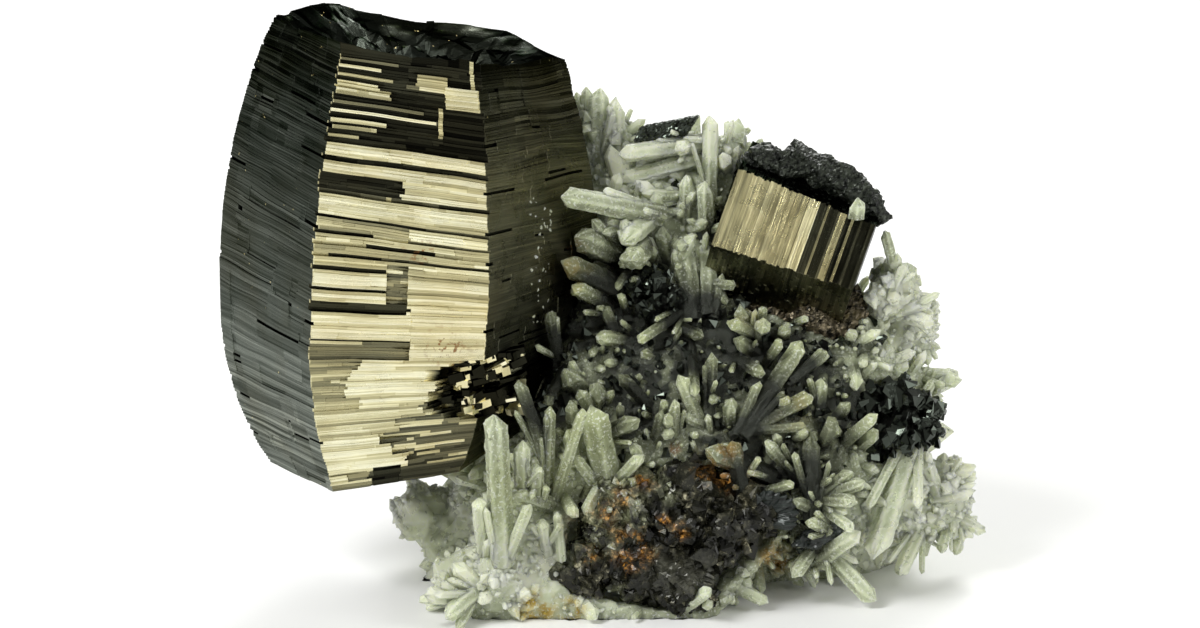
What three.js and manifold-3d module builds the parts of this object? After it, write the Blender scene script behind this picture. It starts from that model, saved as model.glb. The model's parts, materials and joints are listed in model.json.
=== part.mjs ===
// A pyrrhotite specimen: a large barrel of stacked plates and a smaller one lying beside it, in a druse of
// grey quartz needles with black sphalerite, on a lump of dark sulphide ore. It is cut off flat underneath.
// Millimetres, +Z up. X runs to the right and Y away from the front. The origin is on the flat underside.

import * as THREE from 'three';
import { ConvexGeometry } from 'three/addons/geometries/ConvexGeometry.js';
import { mergeVertices } from 'three/addons/utils/BufferGeometryUtils.js';
import Module from 'manifold-3d';

const wasm = await Module();
wasm.setup();

// Driving dimensions
const clearance = 0.35;
const socketMargin = 0.5;
const buriedFoot = 2.2;
const groundSize = 160;
const barrel = {
  halfWidth: 20,
  bottom: { centre: [-20.7, 0, 14.3], tilt: 9.5, pitch: 2 },
  top: { centre: [-18.7, 0, 57.6], tilt: -8, pitch: -1 },
  widestAt: 0.42,
  topTaper: 0.24,
  bottomTaper: 0.28,
  plates: 16,
  faceLedge: 0.85,
  sideLedge: 0.5,
  hollowDepth: 3.4,
};
const smallStack = {
  halfWidth: 8.6,
  length: 15.2,
  endTaper: 0.16,
  faceCentre: [20, -4.6, 38.4],
  axisDip: 18,
  axisTurn: -9,
  faceLift: 19,
  plates: 7,
  ledge: 0.4,
};
const brokenCornerSize = { radius: 4.6, crumb: [2.2, 4.2, 1.1], crumbs: 7 };
const oreFace = { width: 30, depth: 10, height: 9, slope: 0.12, turn: 0.08 };
const needleRows = { rows: 4, perRow: 5, from: -12, sweep: 172, ridge: 48 };

// The front view: its centre is the point at this height on the axis, seen at this angle from above
const view = { height: 28.5, angle: 14, distance: 418 };

// Corners of a plate's outline in half widths, from the front left corner anticlockwise seen from above
const barrelOutline = [[-0.45, -0.9], [0.43, -0.9], [1, 0.05], [0.58, 0.78], [-0.58, 0.78], [-1, 0.05]];
const faceDistance = Math.sqrt(3) / 2;
const regularOutline = [
  [-0.5, -faceDistance], [0.5, -faceDistance], [1, 0], [0.5, faceDistance], [-0.5, faceDistance], [-1, 0],
];

// Quartz crystals as measured on the front view. Each is the tip across, up and in depth,
// the foot across, up and in depth, and the width, in millimetres.
const behindTheBarrel = [
  [-0.2, 23.8, 9, -0.2, 16.4, 7, 2.4],
  [1.8, 22.7, 8, 1.7, 18.8, 7, 1.8],
];
const alongTheTop = [
  [1.8, 16.6, 2, 10.2, 17.8, 5, 1.9],
  [1.7, 13.8, 3, 10.2, 16.2, 5, 1.8],
  [11.5, 20.9, 5, 11.5, 13.4, 3, 1.9],
  [11, 14, 0, 11.2, 9.5, 1, 2],
  [8.9, 14.6, 0, 8.9, 11.7, 1, 1.4],
  [13.8, 19.4, 8, 12.7, 15.6, 7, 2.2],
  [10.1, 19.4, 7, 10.4, 16.1, 6, 1.6],
  [5.7, 17.1, 9, 6.3, 14, 7, 2],
];
const upperMiddle = [
  [-4.1, 12.4, -8, 4.7, 10.7, -2, 2.4],
  [2.2, 7.4, -6, 4.8, 9.8, -1, 2.6],
  [3.3, 5.4, -8, 4.2, 6.7, -1, 2.9],
  [8.2, 8.3, -1, 9.4, 1.6, -3, 2.5],
  [11.1, 7.4, 0, 11.3, 1.9, -3, 2],
];
const besideTheBarrel = [
  [-2.6, 8.2, -6, 1.9, 6.2, -1, 3],
  [-4.2, 5.4, -8, 3.4, 2, -2, 2.5],
  [-5.3, 0.3, -10, -4.5, -3.9, -8, 1.4],
];
const middle = [
  [-0.5, -2.4, -9, 3.6, -2.9, -5, 1.7],
  [3.9, -2.9, -9, 8.2, 0, -4, 1.3],
  [10.8, -2.4, -8, 7.6, -1.1, -4, 1.4],
  [11.7, -4, -9, 11.2, -11.9, -10, 1.4],
  [1.9, -6.3, -12, 6, -10.6, -9, 1.6],
  [8.3, -6.3, -11, 11, -13.1, -10, 1.7],
  [7.7, -8.9, -12, 7.8, -13.1, -11, 1.3],
  [-4, -5.9, -12, -1.7, -8.2, -8, 2.8],
  [-0.2, -7.2, -12, -0.2, -9.8, -10, 2.1],
  [-3.1, -9, -14, -2.7, -12.3, -12, 1.5],
];
const rightOfMiddle = [
  [14.6, 1, -4, 15.2, -2.2, -4, 1.8],
  [17.1, -1.1, -8, 16.7, -1.7, -3, 1.8],
  [21.2, -2.8, -6, 15.8, -11.1, -11, 2],
  [23.8, -4, -5, 21.2, -5.9, -7, 1.4],
  [23.2, -6.7, -7, 23, -9.6, -7, 1.5],
  [22.3, -8.5, -9, 16.2, -11.5, -11, 1.8],
  [13.6, -8.8, -11, 13.6, -11.6, -10, 1.6],
];
const lowerLeft = [
  [-11, -10.4, -20, -10.3, -24.1, -17, 2.5],
  [-12.7, -19.3, -19, -12.2, -24.1, -15, 1.7],
  [-8.2, -13.2, -19, -8.2, -17.3, -17, 1.7],
  [-8.5, -6.9, -16, -6, -14.2, -14, 1.5],
  [-5.2, -9.5, -15, -5.4, -16.2, -14, 1.3],
  [-1.7, -9.9, -18, -4.2, -17.6, -15, 1.2],
  [-0.8, -9.5, -15, 0.6, -16.7, -13, 3.2],
  [4.2, -10.9, -15, 1, -12.4, -13, 1.8],
  [3.6, -13.7, -15, 4.2, -15.4, -12, 1.4],
  [-9, -18.6, -18, -6.6, -19.4, -16, 1.8],
  [-18.5, -29.4, -19, -15.5, -29.6, -17, 2],
  [-16.3, -31.8, -20, -13.7, -29.7, -17, 2],
  [-15.5, -26, -17, -13, -28, -16, 1.8],
];
const lowerRight = [
  [11, -14.2, -15, 16.2, -16.3, -12, 2.2],
  [13.6, -13.2, -14, 14.6, -17.1, -13, 2],
  [17.2, -13.2, -13, 20.3, -16.7, -11, 1.4],
  [22, -12.2, -11, 22.2, -19.2, -12, 2],
  [26.4, -16.3, -14, 22.7, -19.2, -11, 1.5],
  [27.8, -17.5, -15, 23, -18.9, -11, 1.5],
  [26.6, -19.5, -16, 23, -19.4, -11, 1.6],
  [26.6, -22.6, -15, 22.8, -19.8, -11, 1.4],
  [20.2, -19.4, -14, 22.2, -20.3, -12, 1.5],
  [28.5, -25.8, -12, 31.9, -15, -5, 2.8],
  [28.8, -30.2, -12, 24.6, -25.7, -10, 2],
  [27.3, -22.7, -14, 22.8, -25.7, -10, 2],
  [31.2, -27.4, -7, 33.3, -22.8, -3, 1.7],
  [40.3, -22.9, -2, 38, -21.7, -1, 1.4],
  [35.6, -25, -4, 36.4, -22, -1, 1.3],
  [20.1, -27.6, -12, 22.5, -24.1, -10, 1.6],
];
const farRight = [
  [35, -1.1, -1, 32.9, -0.4, 0, 1.8],
  [31.9, 5.4, -1, 31.1, 3.6, -1, 1.4],
  [29.7, 8.8, -2, 30.3, 6.5, -1, 1.2],
  [39.4, -15.8, -1, 37.1, -17.1, -1, 1.8],
  [39.2, -18.4, -2, 36.6, -18.9, -2, 1.8],
  [34, -15, -4, 34.7, -17.1, -3, 1.6],
];

// Groups of lumps. Each place is a lump's centre across, up and in depth on the front view, and its radius.
const quartzLumps = {
  seed: 10,
  points: 8,
  places: [
    [-0.5, 18.5, 9.5, 3.6], [6, 15, 8, 4], [12.8, 15.5, 8.5, 4], [4.6, 10.5, 3, 4.6], [10, 6, 2, 4.6],
    [1.8, 18.5, 8, 2.6], [29.5, 2.5, 2, 4.8], [32, -2, 3.5, 4.2], [31, -8.5, 3, 4.6], [35.6, -18, 1, 4.4],
    [33.5, -21, -1, 4], [30, -19.5, -3, 4.8], [36, -21.5, 0, 3.2], [24.5, -20, -6, 5], [22, -24.5, -6.5, 3.6],
    [-10.5, -27.5, -14, 4.4], [-14.5, -28, -12, 3.8], [-18.5, -21, 3, 4.2], [-15.5, -24, 0, 4.6],
  ],
};
const backLumps = {
  seed: 45,
  points: 9,
  places: [
    [-8, -6, 12, 6], [0, 4, 13, 6], [9, -4, 14, 6.5], [18, 2, 12, 6], [25, -10, 10, 6], [14, -16, 13.5, 6.5],
    [2, -15, 13, 6], [-10, -18, 11, 6], [6, 12, 11, 5], [27, -20, 9, 5.5],
  ],
};
const oreLumps = {
  seed: 60,
  points: 12,
  places: [
    [2, -20.5, -12.5, 4.8], [8.5, -20, -12.5, 5.2], [4, -25.5, -12.5, 5.4], [12, -22.5, -12.5, 5],
    [15.8, -20.6, -11.5, 3.8], [-2, -26.5, -13, 3.6], [8.5, -27, -13.5, 4.6],
  ],
};
const rightSphaleriteLumps = {
  seed: 70,
  points: 10,
  places: [
    [28, -9.4, -3.5, 2.4], [31.3, -8.8, -3.5, 2.5], [34.2, -10, -2.5, 2], [28.3, -13.4, -4.8, 2.6],
    [31.2, -12.6, -5, 2.7], [34, -12.4, -3.5, 2],
  ],
};
const centreSphaleriteLumps = {
  seed: 80,
  points: 12,
  places: [
    [3.6, 2.6, -4, 1.6], [6, 3.4, -4, 1.8], [7.6, 1.6, -4.2, 1.4], [5.2, 0.6, -4.6, 1.5],
  ],
};
const crustLumps = {
  seed: 20,
  points: 9,
  places: [
    [17.2, 16, 1.2, 2.4], [21.2, 15.6, 1.6, 2.7], [25, 14.2, 0.6, 2.5], [28, 11.8, -0.4, 2],
  ],
};
const massiveLumps = {
  seed: 30,
  points: 9,
  places: [
    [18, -0.4, 1.5, 3.8], [22, -0.8, 0.5, 4], [25.6, -0.6, 0.6, 3.6],
  ],
};

// A repeatable scatter between 0 and 1
function scatter(number) {
  const value = Math.sin(number * 12.9898) * 43758.5453;
  return value - Math.floor(value);
}

// Places a point measured across and up on the front view at a depth behind the origin
function fromView(across, up, depth) {
  const angle = THREE.MathUtils.degToRad(view.angle);
  const eyeHeight = view.height + view.distance * Math.sin(angle);
  const eye = new THREE.Vector3(0, -view.distance * Math.cos(angle), eyeHeight);
  const rise = up / view.distance;
  const sight = new THREE.Vector3(
    across / view.distance,
    Math.cos(angle) + rise * Math.sin(angle),
    -Math.sin(angle) + rise * Math.cos(angle),
  );
  return eye.addScaledVector(sight, (depth - eye.y) / sight.y);
}

function solidOf(geometry) {
  geometry.deleteAttribute('normal');
  geometry.deleteAttribute('uv');
  const merged = mergeVertices(geometry, 1e-4);
  const vertProperties = Float32Array.from(merged.attributes.position.array);
  const triVerts = Uint32Array.from(merged.index.array);
  return new wasm.Manifold(new wasm.Mesh({ numProp: 3, vertProperties, triVerts }));
}

function geometryOf(solid) {
  const { vertProperties, triVerts } = solid.getMesh();
  const geometry = new THREE.BufferGeometry();
  geometry.setAttribute('position', new THREE.BufferAttribute(vertProperties, 3));
  geometry.setIndex(new THREE.BufferAttribute(triVerts, 1));
  geometry.computeVertexNormals();
  return geometry;
}

function joined(solids) {
  return solids.reduce((whole, solid) => whole.add(solid));
}

// The convex solid around several others
function wrapped(solids) {
  const points = solids.flatMap((solid) => {
    const { vertProperties } = solid.getMesh();
    const count = vertProperties.length / 3;
    return Array.from({ length: count }, (_, i) => new THREE.Vector3().fromArray(vertProperties, 3 * i));
  });
  return solidOf(new ConvexGeometry(points));
}

// A solid through rings of equally many points, closed by a point at each end
function skin(start, rings, end) {
  const count = rings[0].length;
  const points = [start, ...rings.flat(), end];
  const index = [];
  for (let i = 0; i < count; i++) {
    const next = (i + 1) % count;
    index.push(0, 1 + next, 1 + i);
    for (let ring = 1; ring < rings.length; ring++) {
      const below = 1 + (ring - 1) * count;
      const above = below + count;
      index.push(below + i, below + next, above + next, below + i, above + next, above + i);
    }
    const last = 1 + (rings.length - 1) * count;
    index.push(points.length - 1, last + i, last + next);
  }
  const geometry = new THREE.BufferGeometry().setFromPoints(points);
  geometry.setIndex(index);
  return geometry;
}

// The outline of one plate with a step partway along each side. Each side has two insets, one before
// its step and one after it, and a corner lies where the two sides' inset lines meet.
function plateOutline(corners, halfWidth, insets, steps) {
  const sides = corners.map((corner, i) => {
    const from = new THREE.Vector2(...corner).multiplyScalar(halfWidth);
    const to = new THREE.Vector2(...corners[(i + 1) % corners.length]).multiplyScalar(halfWidth);
    const along = to.clone().sub(from);
    const inward = new THREE.Vector2(-along.y, along.x).normalize();
    return { from, along, inward };
  });
  const outline = [];
  sides.forEach((side, i) => {
    const last = (i + sides.length - 1) % sides.length;
    const previous = sides[last];
    const before = previous.from.clone().addScaledVector(previous.inward, insets[last][1]);
    const start = side.from.clone().addScaledVector(side.inward, insets[i][0]);
    const gap = start.clone().sub(before);
    const reach = gap.cross(side.along) / previous.along.cross(side.along);
    outline.push(before.addScaledVector(previous.along, reach));
    outline.push(start.addScaledVector(side.along, steps[i]));
    const afterStep = side.from.clone().addScaledVector(side.inward, insets[i][1]);
    outline.push(afterStep.addScaledVector(side.along, steps[i] + 0.01));
  });
  return outline;
}

const plateSides = [0, 1, 2, 3, 4, 5];

function plateInsets(seed, amount) {
  const inset = (side, half) => scatter(seed + side * 2.3 + half * 1.1) * amount(side);
  return plateSides.map((side) => [inset(side, 0), inset(side, 1)]);
}

function plateSteps(seed) {
  return plateSides.map((side) => 0.25 + 0.5 * scatter(seed + side * 3.7));
}

// The barrel's half width falls away from its widest plate towards both ends
function barrelHalfWidth(t) {
  const { halfWidth, widestAt, topTaper, bottomTaper } = barrel;
  if (t > widestAt) {
    return halfWidth * (1 - topTaper * ((t - widestAt) / (1 - widestAt)) ** 2);
  }
  return halfWidth * (1 - bottomTaper * ((widestAt - t) / widestAt) ** 2.3);
}

// Where the plate at t, from 0 at the bottom to 1 at the top, puts a point of its own plane
function barrelPoint(t, across, back, lift = 0) {
  const { bottom, top } = barrel;
  const centre = new THREE.Vector3(...bottom.centre).lerp(new THREE.Vector3(...top.centre), t);
  const tilt = THREE.MathUtils.lerp(bottom.tilt, top.tilt, Math.min(1, t * 1.6));
  const pitch = THREE.MathUtils.lerp(bottom.pitch, top.pitch, t);
  const turn = new THREE.Euler(THREE.MathUtils.degToRad(pitch), THREE.MathUtils.degToRad(-tilt), 0);
  return new THREE.Vector3(across, back, lift).applyEuler(turn).add(centre);
}

// The barrel as a smooth skin grown by a margin, with room over its top
function barrelSkin(margin) {
  const rings = [];
  const levels = 12;
  for (let level = 0; level <= levels; level++) {
    const t = level / levels;
    const lift = level === 0 ? -margin : level === levels ? 4 : 0;
    const size = barrelHalfWidth(t) + margin * 1.15;
    rings.push(barrelOutline.map(([x, y]) => barrelPoint(t, x * size, y * size, lift)));
  }
  return solidOf(skin(barrelPoint(0, 0, 0, -margin), rings, barrelPoint(1, 0, 0, 4)));
}

// How far each point of the barrel's top rim stands above its last plate, from the front left corner on
const rimHeights = [
  0.9, 0.3, 0.8, 0.6, 0.1, 0.5, -0.3, -0.6, -0.2, 0.2, 0.5, 0.2, 0.6, 0.9, 0.7, 0.3, 0.3, 0.6,
];

// The barrel's plates one on another, and its hollow top
function barrelCrystal() {
  const rings = [];
  const ledge = (side) => (side === 0 ? barrel.faceLedge : barrel.sideLedge);
  let t = 0;
  for (let plate = 0; plate < barrel.plates; plate++) {
    const share = (0.55 + 0.9 * scatter(plate + 40)) / barrel.plates;
    const end = plate === barrel.plates - 1 ? 1 : Math.min(0.985, t + share);
    const seed = plate * 17.1 + 3;
    const halfWidth = Math.min(barrelHalfWidth(t), barrelHalfWidth(end));
    const outline = plateOutline(barrelOutline, halfWidth, plateInsets(seed, ledge), plateSteps(seed));
    rings.push(outline.map((point) => barrelPoint(t + 0.0015, point.x, point.y)));
    rings.push(outline.map((point) => barrelPoint(end, point.x, point.y)));
    t = end;
  }
  const rimPoints = rings.pop().map((point, i) => point.clone().setZ(point.z + rimHeights[i]));
  rings.push(rimPoints);
  for (const [size, depth] of [[0.86, 0.3], [0.8, 1.7], [0.5, 2.4], [0.42, barrel.hollowDepth]]) {
    const centre = barrelPoint(1, 0, 0, -depth);
    rings.push(rimPoints.map((point, i) => {
      const shrunk = point.clone().lerp(centre, 1 - size + 0.08 * scatter(i + depth));
      return shrunk.setZ(THREE.MathUtils.lerp(shrunk.z, centre.z, 0.6));
    }));
  }
  return solidOf(skin(barrelPoint(0, 0, 0), rings, barrelPoint(1, 0, 0, -barrel.hollowDepth)));
}

// A convex lump with a point on every side, its faces made by a few scattered points
function lump(centre, radius, seed, points, grow = 0) {
  const cloud = [];
  for (let i = 0; i < points; i++) {
    const height = 1 - (2 * (i + 0.5)) / points;
    const turn = i * 2.39996 + seed;
    const out = Math.sqrt(1 - height * height);
    const reach = radius * (0.82 + 0.3 * scatter(seed * 5.3 + i)) + grow;
    const point = new THREE.Vector3(Math.cos(turn) * out, Math.sin(turn) * out, height);
    cloud.push(point.multiplyScalar(reach).add(centre));
  }
  return solidOf(new ConvexGeometry(cloud));
}

function lumps(group, grow = 0) {
  return group.places.map(([across, up, depth, radius], i) => (
    lump(fromView(across, up, depth), radius, group.seed + i, group.points, grow)
  ));
}

// A quartz crystal: six sides and six uneven end faces that meet in a point
function quartzCrystal(tip, foot, width, seed, grow = 0) {
  const axis = tip.clone().sub(foot).normalize();
  const turn = new THREE.Quaternion().setFromUnitVectors(new THREE.Vector3(0, 0, 1), axis);
  const start = foot.clone().addScaledVector(axis, -buriedFoot);
  const length = tip.distanceTo(start) + grow;
  const points = [];
  for (let i = 0; i < 6; i++) {
    const angle = (i * Math.PI) / 3 + seed;
    const radius = (width / 2) * (0.92 + 0.2 * scatter(seed + i)) + grow;
    const shoulder = length - width * (0.55 + 0.3 * scatter(seed * 3 + i));
    for (const height of [0, Math.max(shoulder, length * 0.4)]) {
      points.push(new THREE.Vector3(Math.cos(angle) * radius, Math.sin(angle) * radius, height));
    }
  }
  const shift = width * 0.12;
  points.push(new THREE.Vector3(shift * (scatter(seed) - 0.5), shift * (scatter(seed + 9) - 0.5), length));
  const placed = points.map((point) => point.applyQuaternion(turn).add(start));
  return solidOf(new ConvexGeometry(placed));
}

function crystalsOf(list, seed) {
  return list.map(([tipAcross, tipUp, tipDepth, footAcross, footUp, footDepth, width], i) => {
    const tip = fromView(tipAcross, tipUp, tipDepth);
    const foot = fromView(footAcross, footUp, footDepth);
    return quartzCrystal(tip, foot, width, seed + i);
  });
}

// Needles over the back and the top, in rows that follow the ridge
function backCrystals() {
  const crystals = [];
  const { rows, perRow, from, sweep, ridge } = needleRows;
  for (let row = 0; row < rows; row++) {
    for (let i = 0; i < perRow; i++) {
      const seed = 200 + row * perRow + i;
      const around = THREE.MathUtils.degToRad(from + sweep * ((i + scatter(seed)) / perRow));
      const height = 5 + row * (9 - 2 * Math.cos(around)) + 4 * scatter(seed + 0.5);
      const spread = 1 - 0.45 * (height / ridge) ** 2;
      const across = Math.cos(around);
      const back = Math.sin(around);
      const foot = new THREE.Vector3(9 + 22 * spread * across, 1 + 13 * spread * back, height);
      const rise = 0.15 + height / 70 + 0.5 * scatter(seed + 7);
      const out = new THREE.Vector3(across + scatter(seed + 3) - 0.5, back, rise);
      const length = 3.5 + 4 * scatter(seed + 5);
      const tip = foot.clone().addScaledVector(out.normalize(), length);
      crystals.push(quartzCrystal(tip, foot, 1.5 + 1.3 * scatter(seed + 2), seed));
    }
  }
  return crystals;
}

// The massive quartz that everything stands on: a block under the barrel and the front, and a taller one
// behind it whose right side overhangs the foot
const frontBlock = [
  [-13, -15, -2], [10, -15, -2], [13, 2, -2], [-17, 2, -2], [-13, -15.5, 5], [13, -13.5, 7], [22, -10.5, 11],
  [-9, -14, 14], [2, -12.5, 18], [20, -10.5, 17], [-4, -11, 22], [21, -7.5, 23], [-3, -8, 27], [20, -2, 30],
  [0, 4, 30],
];
const backBlock = [
  [-19, -2, -2], [-15, 10, -2], [6, 14, -2], [25, 11, -2], [31, 5, -2], [27, 1, -2], [12, -3, -2],
  [35, -3, 11], [28, -7.5, 10], [34, 6, 12], [-15, 11, 10], [8, 15, 12], [24, -9, 17], [32, -1, 22],
  [30, 8, 22], [-3, -5, 28], [17, -3, 29], [28, 0, 31], [27, 7, 31], [-4, 6, 43], [12, 5, 43], [10, 11, 40],
  [-6, 12, 34], [22, 7, 38],
];
function massiveQuartz(corners) {
  return solidOf(new ConvexGeometry(corners.map((corner) => new THREE.Vector3(...corner))));
}

function block(width, depth, height, centre, turn = [0, 0, 0]) {
  const geometry = new THREE.BoxGeometry(width, depth, height);
  geometry.applyMatrix4(new THREE.Matrix4().makeRotationFromEuler(new THREE.Euler(...turn)));
  geometry.translate(...centre);
  return solidOf(geometry);
}

// Everything under the flat foot
const underground = block(groundSize, groundSize, groundSize, [0, 0, -groundSize / 2]);

// The corner at the lower right of the barrel's front has broken away and left small blocks
function brokenCorner(crystal) {
  const { radius, crumb, crumbs } = brokenCornerSize;
  const centre = fromView(-11.5, -6.5, -17);
  const broken = crystal.subtract(lump(centre, radius, 5, 14));
  const pieces = Array.from({ length: crumbs }, (_, i) => {
    const place = new THREE.Vector3(-3.2 + i * 0.95, 3.1 + 0.35 * i, 1.8 - (i % 4) * 1.35).add(centre);
    return block(...crumb, place, [0, 0.1 * i - 0.2, 0.5 + 0.2 * scatter(i)]);
  });
  return broken.add(joined(pieces).intersect(barrelSkin(-0.2)));
}

// The small stack's own frame: Z along the stack to the right, and -Y out of the bright face
function smallStackFrame() {
  const dip = THREE.MathUtils.degToRad(smallStack.axisDip);
  const turn = THREE.MathUtils.degToRad(smallStack.axisTurn);
  const lift = THREE.MathUtils.degToRad(smallStack.faceLift);
  const level = Math.cos(dip);
  const axis = new THREE.Vector3(level * Math.cos(turn), level * Math.sin(turn), -Math.sin(dip));
  const face = new THREE.Vector3(0, -Math.cos(lift), Math.sin(lift));
  face.addScaledVector(axis, -face.dot(axis)).normalize();
  const back = face.clone().negate();
  const side = new THREE.Vector3().crossVectors(back, axis);
  const start = new THREE.Vector3(...smallStack.faceCentre)
    .addScaledVector(back, smallStack.halfWidth * faceDistance)
    .addScaledVector(axis, -smallStack.length / 2);
  return new THREE.Matrix4().makeBasis(side, back, axis).setPosition(start);
}

function smallStackSolid(grow = 0) {
  const frame = smallStackFrame();
  const rings = [];
  const plates = grow > 0 ? 1 : smallStack.plates;
  const thickness = smallStack.length / plates;
  for (let plate = 0; plate < plates; plate++) {
    const seed = plate * 7.3 + 90;
    const insets = plateInsets(seed, () => (grow > 0 ? 0 : smallStack.ledge));
    for (const end of [0, 1]) {
      const along = (plate + end) * thickness;
      const taper = grow > 0 ? end : (plate + 0.5) / plates;
      const halfWidth = smallStack.halfWidth * (1 - smallStack.endTaper * taper) + grow;
      const outline = plateOutline(regularOutline, halfWidth, insets, plateSteps(seed));
      const height = along + (end === 0 ? 0.02 - grow : grow);
      rings.push(outline.map((point) => new THREE.Vector3(point.x, point.y, height).applyMatrix4(frame)));
    }
  }
  const start = new THREE.Vector3(0, 0, 0.02 - grow).applyMatrix4(frame);
  const end = new THREE.Vector3(0, 0, smallStack.length + grow).applyMatrix4(frame);
  return solidOf(skin(start, rings, end));
}

// A thin plate of a dark mineral: an outline on the front view with a front and a back
function blade({ outline, front, back }, grow = 0) {
  const centre = new THREE.Vector2();
  for (const [across, up] of outline) {
    centre.add(new THREE.Vector2(across, up).divideScalar(outline.length));
  }
  const points = outline.flatMap(([across, up]) => {
    const outward = new THREE.Vector2(across, up).sub(centre);
    outward.setLength(outward.length() + grow).add(centre);
    return [fromView(outward.x, outward.y, front - grow), fromView(outward.x, outward.y, back + grow)];
  });
  return solidOf(new ConvexGeometry(points));
}

const topBladeShape = {
  outline: [[3.5, 17.9], [4.3, 19.6], [7.5, 20.1], [10.4, 20.8], [9, 18.7]],
  front: 3.2,
  back: 6,
};
const lowerBladeShape = {
  outline: [[20, -24.2], [21.5, -22.6], [25.6, -21.2], [25.2, -23], [22.5, -24.6]],
  front: -12.5,
  back: -8,
};

// Striated dark blades that fan out of the ore's right side
function oreBlades(grow = 0) {
  return [0, 1, 2, 3].map((i) => {
    const angle = -0.5 + i * 0.7;
    const tipAcross = 17.6 + 3.2 * Math.sin(angle);
    const tipUp = -21 + 2.6 * Math.cos(angle);
    return quartzCrystal(fromView(tipAcross, tipUp, -14), fromView(16.4, -21.5, -12), 1.5, 300 + i, grow);
  });
}

function oreSolid() {
  const { width, depth, height, slope, turn } = oreFace;
  const beforeFace = block(width, depth, height, fromView(9, -27.6, -23.3), [slope, 0, turn]);
  const whole = joined([...lumps(oreLumps), ...oreBlades()]);
  return whole.subtract(beforeFace).subtract(underground);
}

const barrelSolid = brokenCorner(barrelCrystal());
const littleQuartz = (grow) => (
  quartzCrystal(fromView(27, 12.2, -4.6), fromView(26.8, 10.4, -4.6), 1.8, 410, grow)
);
const topBlade = blade(topBladeShape);
const lowerBlade = blade(lowerBladeShape);

const roughParts = (grow) => [...lumps(crustLumps, grow), ...lumps(massiveLumps, grow)];
const smallCrystal = joined([smallStackSolid(), ...roughParts(0)]).subtract(littleQuartz(clearance));

const barrelSocket = barrelSkin(socketMargin);
const sockets = [
  barrelSocket,
  wrapped([smallStackSolid(socketMargin), ...roughParts(socketMargin)]),
  wrapped(lumps(oreLumps, socketMargin)),
  wrapped(oreBlades(socketMargin)),
  wrapped(lumps(rightSphaleriteLumps, socketMargin)),
  wrapped(lumps(centreSphaleriteLumps, socketMargin)),
  blade(topBladeShape, socketMargin),
  blade(lowerBladeShape, socketMargin),
  littleQuartz(clearance),
  underground,
];

const quartzGroups = [
  behindTheBarrel,
  alongTheTop,
  upperMiddle,
  besideTheBarrel,
  middle,
  rightOfMiddle,
  lowerLeft,
  lowerRight,
  farRight,
];
const quartzParts = [
  massiveQuartz(frontBlock),
  massiveQuartz(backBlock),
  ...lumps(quartzLumps),
  ...lumps(backLumps),
  ...quartzGroups.flatMap((list, i) => crystalsOf(list, 100 * i + 1)),
  ...backCrystals(),
];
const quartzSolid = sockets.reduce((rest, socket) => rest.subtract(socket), joined(quartzParts));

const oreClear = oreSolid().subtract(barrelSocket);
const rightSphalerite = joined(lumps(rightSphaleriteLumps));
const centreSphalerite = joined(lumps(centreSphaleriteLumps)).subtract(barrelSocket);

// Materials
const pyrrhotite = { color: 0xa8956f, roughness: 0.28, metalness: 1 };
const quartz = { color: 0xb6bcb0, roughness: 0.35, metalness: 0 };
const ore = { color: 0x3a3531, roughness: 0.45, metalness: 0.4 };
const sphalerite = { color: 0x17171a, roughness: 0.22, metalness: 0.2 };
const darkBlade = { color: 0x24302f, roughness: 0.3, metalness: 0.3 };

const specimen = new THREE.Group();
function addPiece(name, solid, look) {
  const mesh = new THREE.Mesh(geometryOf(solid), new THREE.MeshStandardMaterial(look));
  mesh.name = name;
  specimen.add(mesh);
}

addPiece('pyrrhotite_crystal_large', barrelSolid, pyrrhotite);
addPiece('pyrrhotite_crystal_small', smallCrystal, pyrrhotite);
addPiece('quartz_druse', quartzSolid, quartz);
addPiece('quartz_crystal_on_small_pyrrhotite', littleQuartz(0), quartz);
addPiece('sulphide_ore', oreClear, ore);
addPiece('sphalerite_cluster_right', rightSphalerite, sphalerite);
addPiece('sphalerite_cluster_centre', centreSphalerite, sphalerite);
addPiece('sphalerite_blade_top', topBlade, sphalerite);
addPiece('dark_blade_lower', lowerBlade, darkBlade);

export default specimen;
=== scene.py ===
# A pyrrhotite specimen: a large barrel of stacked plates and a smaller one lying beside it, in a druse of
# grey quartz needles with black sphalerite, on a lump of dark sulphide ore, cut off flat underneath.
# Every shape is made in millimetres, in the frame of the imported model, and brought to metres at the end.

import json
import math

import bmesh
import bpy
import numpy as np
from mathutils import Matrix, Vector
from mathutils.kdtree import KDTree

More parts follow.
